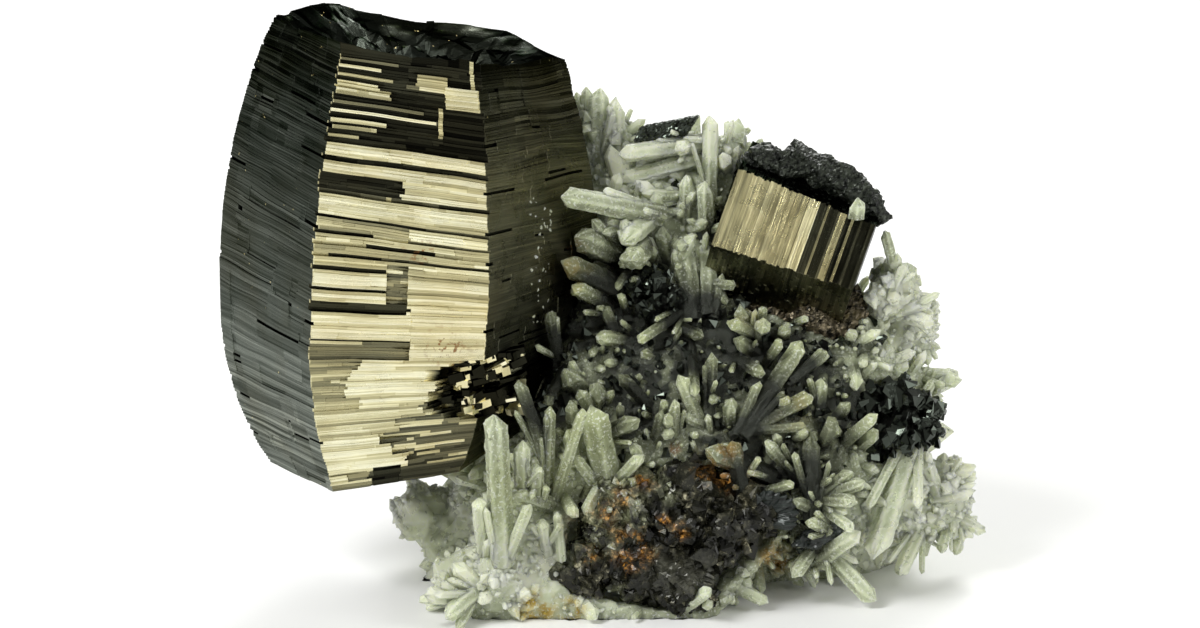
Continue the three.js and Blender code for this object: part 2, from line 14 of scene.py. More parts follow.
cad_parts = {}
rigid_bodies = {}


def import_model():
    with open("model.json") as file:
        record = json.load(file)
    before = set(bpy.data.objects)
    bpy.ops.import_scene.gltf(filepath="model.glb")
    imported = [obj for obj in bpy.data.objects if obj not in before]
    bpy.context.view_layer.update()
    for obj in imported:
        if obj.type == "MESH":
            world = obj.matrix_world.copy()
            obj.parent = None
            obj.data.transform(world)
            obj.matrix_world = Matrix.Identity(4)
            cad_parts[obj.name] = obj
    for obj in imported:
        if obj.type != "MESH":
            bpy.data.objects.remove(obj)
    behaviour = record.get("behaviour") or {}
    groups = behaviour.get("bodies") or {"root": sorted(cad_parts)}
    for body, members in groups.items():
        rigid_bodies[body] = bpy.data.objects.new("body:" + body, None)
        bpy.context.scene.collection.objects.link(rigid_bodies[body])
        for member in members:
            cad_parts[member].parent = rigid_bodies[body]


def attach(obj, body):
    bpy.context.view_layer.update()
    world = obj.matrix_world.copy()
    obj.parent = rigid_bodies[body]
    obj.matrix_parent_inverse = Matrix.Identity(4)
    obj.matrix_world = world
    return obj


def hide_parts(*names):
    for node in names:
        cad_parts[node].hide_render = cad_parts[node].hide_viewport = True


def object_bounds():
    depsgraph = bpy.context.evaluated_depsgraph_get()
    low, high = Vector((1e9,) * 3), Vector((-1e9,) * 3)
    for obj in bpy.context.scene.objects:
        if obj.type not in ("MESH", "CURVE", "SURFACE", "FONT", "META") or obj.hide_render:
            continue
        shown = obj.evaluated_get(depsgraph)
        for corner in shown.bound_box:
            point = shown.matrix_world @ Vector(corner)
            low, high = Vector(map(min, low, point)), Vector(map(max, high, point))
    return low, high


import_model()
cad_low, cad_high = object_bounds()

MM = 0.001
LOW, HIGH = np.array(cad_low) / MM, np.array(cad_high) / MM

# The photograph's view: its centre is the point at this height on the axis, seen at this angle from
# above. The lens and its sensor are in millimetres, and the floor in metres.
VIEW_HEIGHT = 28.5
VIEW_ANGLE = math.radians(14)
VIEW_DISTANCE = 418.0
VIEW_LENS = 120
SENSOR_WIDTH = 36
FLOOR_HALF_WIDTH = 6.0

# Driving dimensions, as in the model that the frame holds
BURIED_FOOT = 2.2
BARREL_HALF_WIDTH = 20.0
BARREL_BOTTOM = {"centre": (-20.7, 0, 14.3), "tilt": 9.5, "pitch": 2}
BARREL_TOP = {"centre": (-18.7, 0, 57.6), "tilt": -8, "pitch": -1}
BARREL_WIDEST_AT = 0.42
BARREL_TOP_TAPER = 0.24
BARREL_BOTTOM_TAPER = 0.28
HOLLOW_DEPTH = 3.4
SMALL_HALF_WIDTH = 8.6
SMALL_LENGTH = 15.2
SMALL_END_TAPER = 0.16
SMALL_FACE_CENTRE = (20, -4.6, 38.4)
SMALL_DIP = 18
SMALL_TURN = -9
SMALL_FACE_LIFT = 19
PLATE_THICKNESS = 0.3
CRUST_VOXEL = 0.42
SPOTTED_DEPTH = 10

# Corners of a plate's outline in half widths, from the front left corner anticlockwise seen from above
BARREL_OUTLINE = [(-0.45, -0.9), (0.43, -0.9), (1, 0.05), (0.58, 0.78), (-0.58, 0.78), (-1, 0.05)]
FACE_DISTANCE = math.sqrt(3) / 2
REGULAR_OUTLINE = [
    (-0.5, -FACE_DISTANCE), (0.5, -FACE_DISTANCE), (1, 0), (0.5, FACE_DISTANCE), (-0.5, FACE_DISTANCE),
    (-1, 0),
]

# The bands of the barrel's front face from its foot upwards: the thickness in millimetres, then the
# brightness left and right of a break, whose place is a share of the face's width. The brightness is
# painted reflection and painted shade: bright plates mirror the light, dark ones are shadowed ledges
FRONT_BANDS = [
    (1.0, 0.32, 0.3, 0.12), (1.1, 0.42, 0.28, 0.14), (1.6, 0.97, 0.56, 0.2), (1.3, 0.97, 0.46, 0.24),
    (1.2, 0.96, 0.38, 0.26), (1.5, 0.68, 0.5, 0.3), (1.3, 0.74, 0.7, 0.36), (1.2, 0.56, 0.3, 0.86),
    (1.7, 0.46, 0.2, 0.95), (1.0, 0.6, 0.25, 0.97), (1.0, 0.5, 0.3, 0.95), (1.7, 0.32, 0.6, 0.96),
    (0.25, 0.1, 0.6, 0.95), (1.25, 0.98, 0.58, 0.98), (1.3, 0.97, 0.57, 0.98), (1.0, 0.1, 0.56, 0.97),
    (1.0, 0.92, 0.5, 0.85), (0.3, 0.1, 0.45, 0.6), (1.5, 0.96, 0.5, 0.92), (0.4, 0.08, 0.5, 0.7),
    (0.8, 0.84, 0.7, 0.88), (0.3, 0.15, 0.4, 0.25), (0.7, 0.72, 0.64, 0.92), (0.4, 0.12, 0.7, 0.6),
    (0.6, 0.88, 0.8, 0.7), (0.3, 0.08, 0.35, 0.35), (1.1, 0.6, 0.55, 0.9), (0.3, 0.1, 0.62, 0.3),
    (0.6, 0.9, 0.5, 0.8), (1.4, 0.97, 0.66, 0.92), (0.4, 0.25, 0.7, 0.1), (0.8, 0.06, 0.5, 0.96),
    (0.9, 0.06, 0.5, 0.9), (1.1, 0.96, 0.62, 0.9), (0.5, 0.08, 0.5, 0.12), (1.2, 0.96, 0.4, 0.92),
    (0.5, 0.08, 0.5, 0.05), (0.3, 0.6, 0.2, 0.06), (0.5, 0.06, 0.5, 0.05), (0.35, 0.75, 0.3, 0.05),
    (0.25, 0.1, 0.5, 0.1), (0.4, 0.85, 0.36, 0.06), (0.5, 0.06, 0.5, 0.06), (0.3, 0.45, 0.7, 0.2),
    (0.5, 0.05, 0.5, 0.05), (0.3, 0.5, 0.6, 0.1), (0.6, 0.05, 0.5, 0.06), (0.6, 0.9, 0.38, 0.06),
    (0.2, 0.2, 0.4, 0.05), (0.5, 0.95, 0.3, 0.08), (0.4, 0.1, 0.5, 0.3), (0.3, 0.7, 0.4, 0.08),
    (0.5, 0.05, 0.5, 0.05), (0.3, 0.4, 0.3, 0.06), (0.4, 0.06, 0.5, 0.05), (0.25, 0.3, 0.4, 0.04),
    (0.55, 0.04, 0.5, 0.04),
]

# Single plates and gaps of the front face: from and to across it in shares of its width, from and to
# above the foot in millimetres, the brightness as painted reflection and shade, and how far the plate
# lies behind the face
FRONT_PATCHES = [
    (0.42, 0.54, 19.9, 23.6, 0.34, 0.75), (0.76, 1.0, 39.2, 41.2, 0.94, 0.1),
    (0.7, 0.73, 36.4, 39.2, 0.85, 0.2), (0.32, 0.52, 0.0, 2.4, 0.04, 0.7),
    (0.57, 1.0, 13.8, 19.4, 0.98, 0.05), (0.92, 0.95, 41.4, 43.6, 0.8, 0.2),
    (0.55, 0.76, 40.9, 42.2, 0.75, 0.25), (0.73, 1.0, 35.8, 39.2, 0.04, 0.7),
    (0.0, 0.13, 1.0, 2.0, 0.8, 0.2),
]

# How far points of the barrel's top rim stand above its last plate, evenly round it
RIM_HEIGHTS = [0.9, 0.3, 0.8, 0.6, 0.1, 0.5, -0.3, -0.6, -0.2, 0.2, 0.5, 0.2, 0.6, 0.9, 0.7, 0.3, 0.3, 0.6]

# Quartz crystals as measured on the front view. Each is the tip across, up and in depth,
# the foot across, up and in depth, and the width, in millimetres.
BEHIND_THE_BARREL = [
    (-0.2, 23.8, 9, -0.2, 16.4, 7, 2.4), (1.8, 22.7, 8, 1.7, 18.8, 7, 1.8),
    (-2.5, 23.2, 10, -1.7, 18.2, 8, 1.2),
]
ALONG_THE_TOP = [
    (1.8, 16.6, 2, 10.2, 17.8, 5, 1.9), (1.7, 13.8, 3, 10.2, 16.2, 5, 1.8),
    (11.5, 20.9, 5, 11.5, 13.4, 3, 1.9), (11, 14, 0, 11.2, 9.5, 1, 2), (8.9, 14.6, 0, 8.9, 11.7, 1, 1.4),
    (13.8, 19.4, 8, 12.7, 15.6, 7, 2.2), (10.1, 19.4, 7, 10.4, 16.1, 6, 1.6),
    (5.7, 17.1, 9, 6.3, 14, 7, 2), (8.4, 17.1, 0, 9.2, 18, 6, 1.8), (14.6, 17.7, 6, 13.4, 14.8, 6, 1.4),
    (4.3, 12.6, 0, 8, 12.3, 2, 1.4),
]
UPPER_MIDDLE = [
    (-4.1, 12.4, -8, 4.7, 10.7, -2, 2.4), (2.2, 7.4, -6, 4.8, 9.8, -1, 2.6),
    (3.3, 5.4, -8, 4.2, 6.7, -1, 2.9), (8.2, 8.3, -1, 9.4, 1.6, -3, 2.5), (11.1, 7.4, 0, 11.3, 1.9, -3, 2),
    (0.7, 9.6, -4, 4.6, 9.6, -1, 1.2), (14.1, 3, -4, 11.4, 3.2, -2, 1.2), (6.3, 9.3, 0, 7.1, 5.4, 0, 2),
]
BESIDE_THE_BARREL = [
    (-2.6, 8.2, -6, 1.9, 6.2, -1, 3), (-4.2, 5.4, -8, 3.4, 2, -2, 2.5),
    (-5.3, 0.3, -10, -4.5, -3.9, -8, 1.4), (-3, 3, -8, 1.1, 0.8, -3, 1.8),
]
MIDDLE = [
    (-0.5, -2.4, -9, 3.6, -2.9, -5, 1.7), (3.9, -2.9, -9, 8.2, 0, -4, 1.3),
    (10.8, -2.4, -8, 7.6, -1.1, -4, 1.4), (11.7, -4, -9, 11.2, -11.9, -10, 1.4),
    (1.9, -6.3, -12, 6, -10.6, -9, 1.6), (8.3, -6.3, -11, 11, -13.1, -10, 1.7),
    (7.7, -8.9, -12, 7.8, -13.1, -11, 1.3), (-4, -5.9, -12, -1.7, -8.2, -8, 2.8),
    (-0.2, -7.2, -12, -0.2, -9.8, -10, 2.1), (-3.1, -9, -14, -2.7, -12.3, -12, 1.5),
    (6.5, -10, -13, 5.7, -13.9, -11, 1.4), (4.2, -4, -8, 6.5, -4.8, -6, 1.2),
    (9.9, -8.6, -12, 9.6, -4.3, -7, 1.2), (12.2, -6.9, -11, 11.7, -8.2, -10, 0.6),
    (6.8, -8.9, -12, 6.6, -10.4, -11, 1), (-5.6, -9.5, -15, -4.4, -7.1, -11, 1.2),
    (3.1, -6.9, -9, 7.6, -7.5, -7, 1.4), (17.2, -6.3, -10, 14.7, -5, -7, 1.5),
]
RIGHT_OF_MIDDLE = [
    (14.6, 1, -4, 15.2, -2.2, -4, 1.8), (17.1, -1.1, -8, 16.7, -1.7, -3, 1.8),
    (21.2, -2.8, -6, 15.8, -11.1, -11, 2), (23.8, -4, -5, 21.2, -5.9, -7, 1.4),
    (23.2, -6.7, -7, 23, -9.6, -7, 1.5), (22.3, -8.5, -9, 16.2, -11.5, -11, 1.8),
    (13.6, -8.8, -11, 13.6, -11.6, -10, 1.6), (14.1, -2.5, -7, 16.5, -4.3, -5, 1.8),
]
LOWER_LEFT = [
    (-11, -10.4, -20, -10.3, -24.1, -17, 2.5), (-12.7, -19.3, -19, -12.2, -24.1, -15, 1.7),
    (-8.2, -13.2, -19, -8.2, -17.3, -17, 1.7), (-8.5, -6.9, -16, -6, -14.2, -14, 1.5),
    (-5.2, -9.5, -15, -5.4, -16.2, -14, 1.3), (-1.7, -9.9, -18, -4.2, -17.6, -15, 1.2),
    (-0.8, -9.5, -15, 0.6, -16.7, -13, 3.2), (4.2, -10.9, -15, 1, -12.4, -13, 1.8),
    (3.6, -13.7, -15, 4.2, -15.4, -12, 1.4), (-9, -18.6, -18, -6.6, -19.4, -16, 1.8),
    (-18.5, -29.4, -19, -15.5, -29.6, -17, 2), (-16.3, -31.8, -20, -13.7, -29.7, -17, 2),
    (-15.5, -26, -17, -13, -28, -16, 1.8), (2, -9.4, -14, 2.3, -11.6, -13, 1),
    (-4.5, -20.6, -17, -4.2, -23.8, -16, 1.1), (-6.1, -21.5, -18, -5.7, -23.6, -16, 1.4),
    (-16.9, -27, -16, -15.2, -28.3, -15, 1.4), (-6.6, -15.5, -18, -6.7, -17.6, -17, 1.7),
]
LOWER_RIGHT = [
    (11, -14.2, -15, 16.2, -16.3, -12, 2.2), (13.6, -13.2, -14, 14.6, -17.1, -13, 2),
    (17.2, -13.2, -13, 20.3, -16.7, -11, 1.4), (22, -12.2, -11, 22.2, -19.2, -12, 2),
    (26.4, -16.3, -14, 22.7, -19.2, -11, 1.5), (27.8, -17.5, -15, 23, -18.9, -11, 1.5),
    (26.6, -19.5, -16, 23, -19.4, -11, 1.6), (26.6, -22.6, -15, 22.8, -19.8, -11, 1.4),
    (20.2, -19.4, -14, 22.2, -20.3, -12, 1.5), (28.5, -25.8, -12, 31.9, -15, -5, 2.8),
    (28.8, -30.2, -12, 24.6, -25.7, -10, 2), (27.3, -22.7, -14, 22.8, -25.7, -10, 2),
    (31.2, -27.4, -7, 33.3, -22.8, -3, 1.7), (40.3, -22.9, -2, 38, -21.7, -1, 1.4),
    (35.6, -25, -4, 36.4, -22, -1, 1.3), (20.1, -27.6, -12, 22.5, -24.1, -10, 1.6),
    (20.4, -17.7, -14, 17.9, -18.4, -13, 1.1), (21.7, -21.5, -14, 23.8, -22.4, -12, 1.4),
    (37.1, -25.3, -2, 37.6, -22.4, 0, 1.3),
]
FAR_RIGHT = [
    (35, -1.1, -1, 32.9, -0.4, 0, 1.8), (31.9, 5.4, -1, 31.1, 3.6, -1, 1.4),
    (29.7, 8.8, -2, 30.3, 6.5, -1, 1.2), (39.4, -15.8, -1, 37.1, -17.1, -1, 1.8),
    (39.2, -18.4, -2, 36.6, -18.9, -2, 1.8), (34, -15, -4, 34.7, -17.1, -3, 1.6),
    (35, -6.7, 2, 34, -8.2, 1, 1.2), (36.2, -10.1, 2, 34.7, -9.2, 1, 1.2),
    (34.7, 1.5, 0, 32.9, 0.8, 0, 1.6),
]

# Groups of lumps. Each place is a lump's centre across, up and in depth on the front view, and its radius.
QUARTZ_LUMPS = {
    "seed": 10,
    "points": 8,
    "places": [
        (-0.5, 18.5, 9.5, 3.6), (6, 15, 8, 4), (12.8, 15.5, 8.5, 4), (4.6, 10.5, 3, 4.6), (10, 6, 2, 4.6),
        (1.8, 18.5, 8, 2.6), (29.5, 2.5, 2, 4.8), (32, -2, 3.5, 4.2), (31, -8.5, 3, 4.6),
        (35.6, -18, 1, 4.4), (33.5, -21, -1, 4), (30, -19.5, -3, 4.8), (36, -21.5, 0, 3.2),
        (24.5, -20, -6, 5), (22, -24.5, -6.5, 3.6), (-10.5, -27.5, -14, 4.4), (-14.5, -28, -12, 3.8),
        (-18.5, -21, 3, 4.2), (-15.5, -24, 0, 4.6),
    ],
}
BACK_LUMPS = {
    "seed": 45,
    "points": 9,
    "places": [
        (-8, -6, 12, 6), (0, 4, 13, 6), (9, -4, 14, 6.5), (18, 2, 12, 6), (25, -10, 10, 6),
        (14, -16, 13.5, 6.5), (2, -15, 13, 6), (-10, -18, 11, 6), (6, 12, 11, 5), (27, -20, 9, 5.5),
    ],
}
ORE_LUMPS = {
    "seed": 60,
    "points": 12,
    "places": [
        (2, -20.5, -12.5, 4.8), (8.5, -20, -12.5, 5.2), (4, -25.5, -12.5, 5.4), (12, -22.5, -12.5, 5),
        (15.8, -20.6, -11.5, 3.8), (-2, -26.5, -13, 3.6), (8.5, -27, -13.5, 4.6),
    ],
}
RIGHT_SPHALERITE_LUMPS = {
    "seed": 70,
    "points": 10,
    "places": [
        (28, -9.4, -3.5, 2.4), (31.3, -8.8, -3.5, 2.5), (34.2, -10, -2.5, 2), (28.3, -13.4, -4.8, 2.6),
        (31.2, -12.6, -5, 2.7), (34, -12.4, -3.5, 2),
    ],
}
CENTRE_SPHALERITE_LUMPS = {
    "seed": 80,
    "points": 12,
    "places": [(3.6, 2.6, -4, 1.6), (6, 3.4, -4, 1.8), (7.6, 1.6, -4.2, 1.4), (5.2, 0.6, -4.6, 1.5)],
}
CRUST_LUMPS = {
    "seed": 20,
    "points": 9,
    "places": [
        (17.2, 16, 1.2, 2.4), (21.2, 15.6, 1.6, 2.7), (25, 14.2, 0.6, 2.5), (28, 11.8, -0.4, 2),
        (19.2, 15.4, 1.4, 2.3), (23.1, 14.8, 1.1, 2.4), (26.6, 12.8, 0, 2.1), (15.6, 15.6, 1.2, 1.6),
        (29.3, 10.2, 0, 1.4),
    ],
}
MASSIVE_LUMPS = {
    "seed": 30,
    "points": 9,
    "places": [(18, -0.4, 1.5, 3.8), (22, -0.8, 0.5, 4), (25.6, -0.6, 0.6, 3.6)],
}
FRONT_BLOCK = [
    (-13, -15, -2), (10, -15, -2), (13, 2, -2), (-17, 2, -2), (-13, -15.5, 5), (13, -13.5, 7),
    (22, -10.5, 11), (-9, -14, 14), (2, -12.5, 18), (20, -10.5, 17), (-4, -11, 22), (21, -7.5, 23),
    (-3, -8, 27), (20, -2, 30), (0, 4, 30),
]
BACK_BLOCK = [
    (-19, -2, -2), (-15, 10, -2), (6, 14, -2), (25, 11, -2), (31, 5, -2), (27, 1, -2), (12, -3, -2),
    (35, -3, 11), (28, -7.5, 10), (34, 6, 12), (-15, 11, 10), (8, 15, 12), (24, -9, 17), (32, -1, 22),
    (30, 8, 22), (-3, -5, 28), (17, -3, 29), (28, 0, 31), (27, 7, 31), (-4, 6, 43), (12, 5, 43),
    (10, 11, 40), (-6, 12, 34), (22, 7, 38),
]
TOP_BLADE = {
    "outline": [(3.5, 17.9), (4.3, 19.6), (7.5, 20.1), (10.4, 20.8), (9, 18.7)],
    "front": 3.2,
    "back": 6,
}
LOWER_BLADE = {
    "outline": [(20, -24.2), (21.5, -22.6), (25.6, -21.2), (25.2, -23), (22.5, -24.6)],
    "front": -12.5,
    "back": -8,
}
ORE_FACE_CENTRE = (9, -27.6, -23.3)
ORE_FACE_DEPTH = 10
ORE_FACE_REACH = 4.5
ORE_FACE_SLOPE = 0.12
ORE_FACE_TURN = 0.08

# Marks on the front view by name: across, up, radius and strength. Rust, yellow, green and moss are stains
# and flat the broken face's grey; smoky is partly a smoky tint and partly painted shade in the hollow, and
# pale partly paler sugary quartz and partly painted light on masses that lie in shade
FRONT_MARKS = {
    "rust": [
        (6.5, -22, 1.1, 1), (8.2, -22.7, 1, 1), (2.1, -25.2, 1.2, 0.9), (2.8, -26.2, 0.8, 1),
        (7.9, -14, 0.8, 1), (2.3, -19, 1.4, 0.8), (3.4, -24.3, 2.6, 1), (0.2, -20.8, 1.8, 0.9),
        (4.6, -17.4, 1.3, 1), (-1.2, -25, 1.6, 0.8), (13.5, -16.2, 2.8, 0.8), (18.3, -25.5, 1.6, 0.6),
        (-2.5, 6.7, 1.2, 0.9), (-16, -3.4, 2.4, 0.9), (-18.8, 6.5, 1.4, 1), (4, -24, 1.6, 0.5),
        (-2.8, -22, 1.5, 0.4), (11, -17, 1.4, 0.7), (0.5, -22.5, 1.2, 0.5),
    ],
    "yellow": [
        (13.5, -15.5, 3, 1), (-6.7, -31, 2.4, 1.2), (-3, -31, 1.8, 1), (-2.6, 4.2, 2, 0.8),
        (18.3, -25.5, 2, 0.8), (14, -15, 3, 0.7), (11.5, -15, 2, 0.6), (20, -10, 2.6, 0.35),
        (15.2, 0, 2, 0.25),
    ],
    "green": [
        (-9.4, -18.4, 5, 0.8), (-1, -12.6, 4.5, 1), (-4.2, -17.3, 4, 0.8), (-17, -24, 4, 0.5),
        (2.5, -17, 3, 0.6), (-10.5, -24, 4, 0.3), (16, -1, 3, 0.3), (20, -10, 3, 0.3), (-1.5, 3.5, 3, 0.4),
    ],
    # Partly a smoky tint, partly painted shade in the hollow of the druse
    "smoke_and_shade": [
        (-3, 1, 8, 1), (4, 0, 9, 1), (12, -4, 9, 1), (19, -6, 8, 1), (25, -10, 6, 0.9), (21, -16, 6, 0.85),
        (14, -14, 6, 0.8), (4, -9, 7, 0.9), (-6, -8, 6, 1), (-4, 9, 4, 0.9), (13.2, 9, 3, 0.8),
        (27, -2, 4, 0.6), (15, -20, 5, 0.9), (22, -23, 4, 0.7), (-3, -21, 4, 0.4),
    ],
    # Partly paler sugary quartz, partly painted light: the first two spots light the mass in the barrel's
    # shadow
    "pale": [
        (-19, -20, 7, 1.5), (-16, -24, 7, 1.2), (-8, -26, 7, 1), (-1, -28, 5, 0.7), (31, 0, 7, 1),
        (36, -18, 8, 1), (30, -24, 6, 0.7), (4, 18, 7, 0.8), (12, 18, 5, 0.7),
    ],
    "moss": [
        (-3.5, -18, 4.5, 1), (-1, -22.5, 3.4, 1), (2.2, -18, 3.2, 1), (3, -21.6, 2.2, 0.8),
        (5, -16, 2.6, 0.8), (-5, -24, 3, 0.8), (5.3, -17.6, 1.6, 0.7), (1.6, -29.4, 1.2, 0.7),
        (7.4, -19, 1.2, 0.6),
    ],
    "flat": [
        (6.5, -27, 2.4, 1), (9.5, -27.5, 2.4, 1), (10.8, -26.6, 1.8, 1),
    ],
}
SMOOTH_SPOTS = [(-17.5, -22, 4.5, 1)]


def scatter(number):
    """A repeatable scatter between 0 and 1."""
    value = np.sin(np.asarray(number, float) * 12.9898) * 43758.5453
    return value - np.floor(value)


def mix(a, b, share):
    return a + (b - a) * share


def unit(vectors):
    """Vectors made one long."""
    return vectors / np.linalg.norm(vectors, axis=-1, keepdims=True)


def turned(angle, axis):
    """The matrix of a turn about an axis."""
    c, s = math.cos(angle), math.sin(angle)
    if axis == "X":
        return np.array([[1, 0, 0], [0, c, -s], [0, s, c]])
    if axis == "Y":
        return np.array([[c, 0, s], [0, 1, 0], [-s, 0, c]])
    return np.array([[c, -s, 0], [s, c, 0], [0, 0, 1]])


EYE = np.array([
    0.0, -VIEW_DISTANCE * math.cos(VIEW_ANGLE), VIEW_HEIGHT + VIEW_DISTANCE * math.sin(VIEW_ANGLE),
])
FORWARD = np.array([0.0, math.cos(VIEW_ANGLE), -math.sin(VIEW_ANGLE)])
UPWARD = np.array([0.0, math.sin(VIEW_ANGLE), math.cos(VIEW_ANGLE)])


def from_view(across, up, depth):
    """The point measured across and up on the front view, at a depth behind the origin."""
    sight = FORWARD + UPWARD * up / VIEW_DISTANCE
    sight[0] = across / VIEW_DISTANCE
    return EYE + sight * (depth - EYE[1]) / sight[1]


def to_view(points):
    """How far across and up the front view shows each point."""
    offset = points - EYE
    distance = offset @ FORWARD
    return VIEW_DISTANCE * offset[:, 0] / distance, VIEW_DISTANCE * (offset @ UPWARD) / distance


def spots(points, places):
    """How strongly each point of the front is marked by a list of spots on the front view."""
    across, up = to_view(points)
    strength = np.zeros(len(points))
    for spot_across, spot_up, radius, amount in places:
        distance = np.hypot(across - spot_across, up - spot_up) / radius
        strength = np.maximum(strength, amount * np.clip(1.6 - 1.4 * distance, 0, 1))
    return strength * np.clip((SPOTTED_DEPTH - points[:, 1]) / 4, 0, 1)


class Shape:
    """Points, faces and a value of each attribute per point, in millimetres."""

    def __init__(self):
        self.points = []
        self.faces = []
        self.values = {}
        self.count = 0

    def add(self, points, faces, **values):
        self.points.append(points)
        self.faces += [[self.count + i for i in face] for face in faces]
        self.count += len(points)
        for name, value in values.items():
            row = np.broadcast_to(value, (len(points),)).astype(float)
            self.values.setdefault(name, []).append(row)

    def all_points(self):
        return np.concatenate(self.points)


def piece(name, shape, material, replaces=None, smooth=False, spotted=True):
    """Makes an object of a shape, marked by the spots on the front view, stains and painted light and shade,
    riding on the specimen.
    """
    points = np.clip(shape.all_points(), LOW, HIGH)
    mesh = bpy.data.meshes.new(name)
    mesh.from_pydata((points * MM).tolist(), [], shape.faces)
    attributes = {key: np.concatenate(parts) for key, parts in shape.values.items()}
    if spotted:
        attributes.update({key: spots(points, places) for key, places in FRONT_MARKS.items()})
    for key, values in attributes.items():
        layer = mesh.attributes.new(key, "FLOAT", "POINT")
        layer.data.foreach_set("value", values.astype(np.float32))
    mesh.polygons.foreach_set("use_smooth", [smooth] * len(mesh.polygons))
    mesh.materials.append(material)
    mesh.validate()
    made = bpy.data.objects.new(name, mesh)
    bpy.context.scene.collection.objects.link(made)
    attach(made, "root")
    if replaces:
        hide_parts(replaces)


def hull(points):
    """The convex solid around points, as points and faces."""
    work = bmesh.new()
    for point in points:
        work.verts.new(point)
    bmesh.ops.convex_hull(work, input=work.verts)
    loose = [vertex for vertex in work.verts if not vertex.link_faces]
    bmesh.ops.delete(work, geom=loose, context="VERTS")
    work.verts.index_update()
    found = np.array([vertex.co[:] for vertex in work.verts])
    faces = [[vertex.index for vertex in face.verts] for face in work.faces]
    work.free()
    return found, faces


def lump(centre, radius, seed, points):
    """A convex lump with a point on every side, its faces made by a few scattered points."""
    i = np.arange(points)
    height = 1 - 2 * (i + 0.5) / points
    turn = i * 2.39996 + seed
    out = np.sqrt(1 - height * height)
    reach = radius * (0.82 + 0.3 * scatter(seed * 5.3 + i))
    cloud = np.stack([np.cos(turn) * out, np.sin(turn) * out, height], axis=1) * reach[:, None]
    return cloud + centre


def lumps(group):
    return [
        lump(from_view(across, up, depth), radius, group["seed"] + i, group["points"])
        for i, (across, up, depth, radius) in enumerate(group["places"])
    ]


def raw_object(clouds):
    """An object of several convex solids, for modifiers to work on."""
    shape = Shape()
    for cloud in clouds:
        shape.add(*hull(cloud))
    mesh = bpy.data.meshes.new("raw")
    mesh.from_pydata(shape.all_points().tolist(), [], shape.faces)
    made = bpy.data.objects.new("raw", mesh)
    bpy.context.scene.collection.objects.link(made)
    return made


def fused(clouds, voxel, sockets=()):
    """One skin around convex solids, cut by sockets, as points, faces and outward directions."""
    work = raw_object(clouds)
    cutters = bpy.data.collections.new("cutters")
    for socket in sockets:
        cutters.objects.link(raw_object([socket]))
    for step in ("join", "cut", "smooth"):
        if step == "cut" and sockets:
            cut = work.modifiers.new(step, "BOOLEAN")
            cut.operation = "DIFFERENCE"
            cut.operand_type = "COLLECTION"
            cut.solver = "EXACT"
            cut.collection = cutters
        elif step == "join" or sockets:
            remesh = work.modifiers.new(step, "REMESH")
            remesh.mode = "VOXEL"
            remesh.voxel_size = voxel
    evaluated = work.evaluated_get(bpy.context.evaluated_depsgraph_get())
    skin = evaluated.to_mesh()
    points = np.zeros(len(skin.vertices) * 3)
    skin.vertices.foreach_get("co", points)
    normals = np.array([normal.vector[:] for normal in skin.vertex_normals])
    faces = [list(polygon.vertices) for polygon in skin.polygons]
    evaluated.to_mesh_clear()
    for used in (work, *cutters.objects):
        bpy.data.meshes.remove(used.data)
    bpy.data.collections.remove(cutters)
    return points.reshape(-1, 3), faces, normals


def planes_of(cloud):
    """The outward directions and the distances of a convex solid's faces."""
    points, faces = hull(cloud)
    first, second, third = (points[[face[i] for face in faces]] for i in range(3))
    outward = unit(np.cross(second - first, third - first))
    outward *= np.sign(np.einsum("ij,ij->i", outward, first - points.mean(axis=0)))[:, None]
    return outward, np.einsum("ij,ij->i", outward, first)


def is_within(point, solids, margin):
    """Whether a point is inside any of several convex solids, or nearer to one than the margin."""
    return any((outward @ point - distance).max() < margin for outward, distance in solids)


def faceted(points, normals, cell, flatness, tumble, seed):
    """Presses a skin into flat tilted facets of about the cell's width, like the faces of small crystals."""
    random = np.random.default_rng(seed)
    share = 1.3 * (CRUST_VOXEL / cell) ** 2
    chosen = np.flatnonzero(random.random(len(points)) < share)
    tree = KDTree(len(chosen))
    for i, index in enumerate(chosen):
        tree.insert(points[index], i)
    tree.balance()
    nearest = np.array([tree.find(point)[1] for point in points])
    tilted = unit(normals[chosen] + tumble * random.normal(size=(len(chosen), 3)))
    offset = np.einsum("ij,ij->i", points - points[chosen][nearest], tilted[nearest])
    lift = 0.12 * cell * random.normal(size=len(chosen))
    moved = points - flatness * (offset - lift[nearest])[:, None] * tilted[nearest]
    return moved, random.random(len(chosen))[nearest]


# A crystal's section as shares along each of its six sides, and how near its edge each point is
FINE_SECTION = ((0.08, 1), (0.36, 0), (0.64, 0), (0.92, 1))
PLAIN_SECTION = ((0.06, 0.9), (0.94, 0.1))


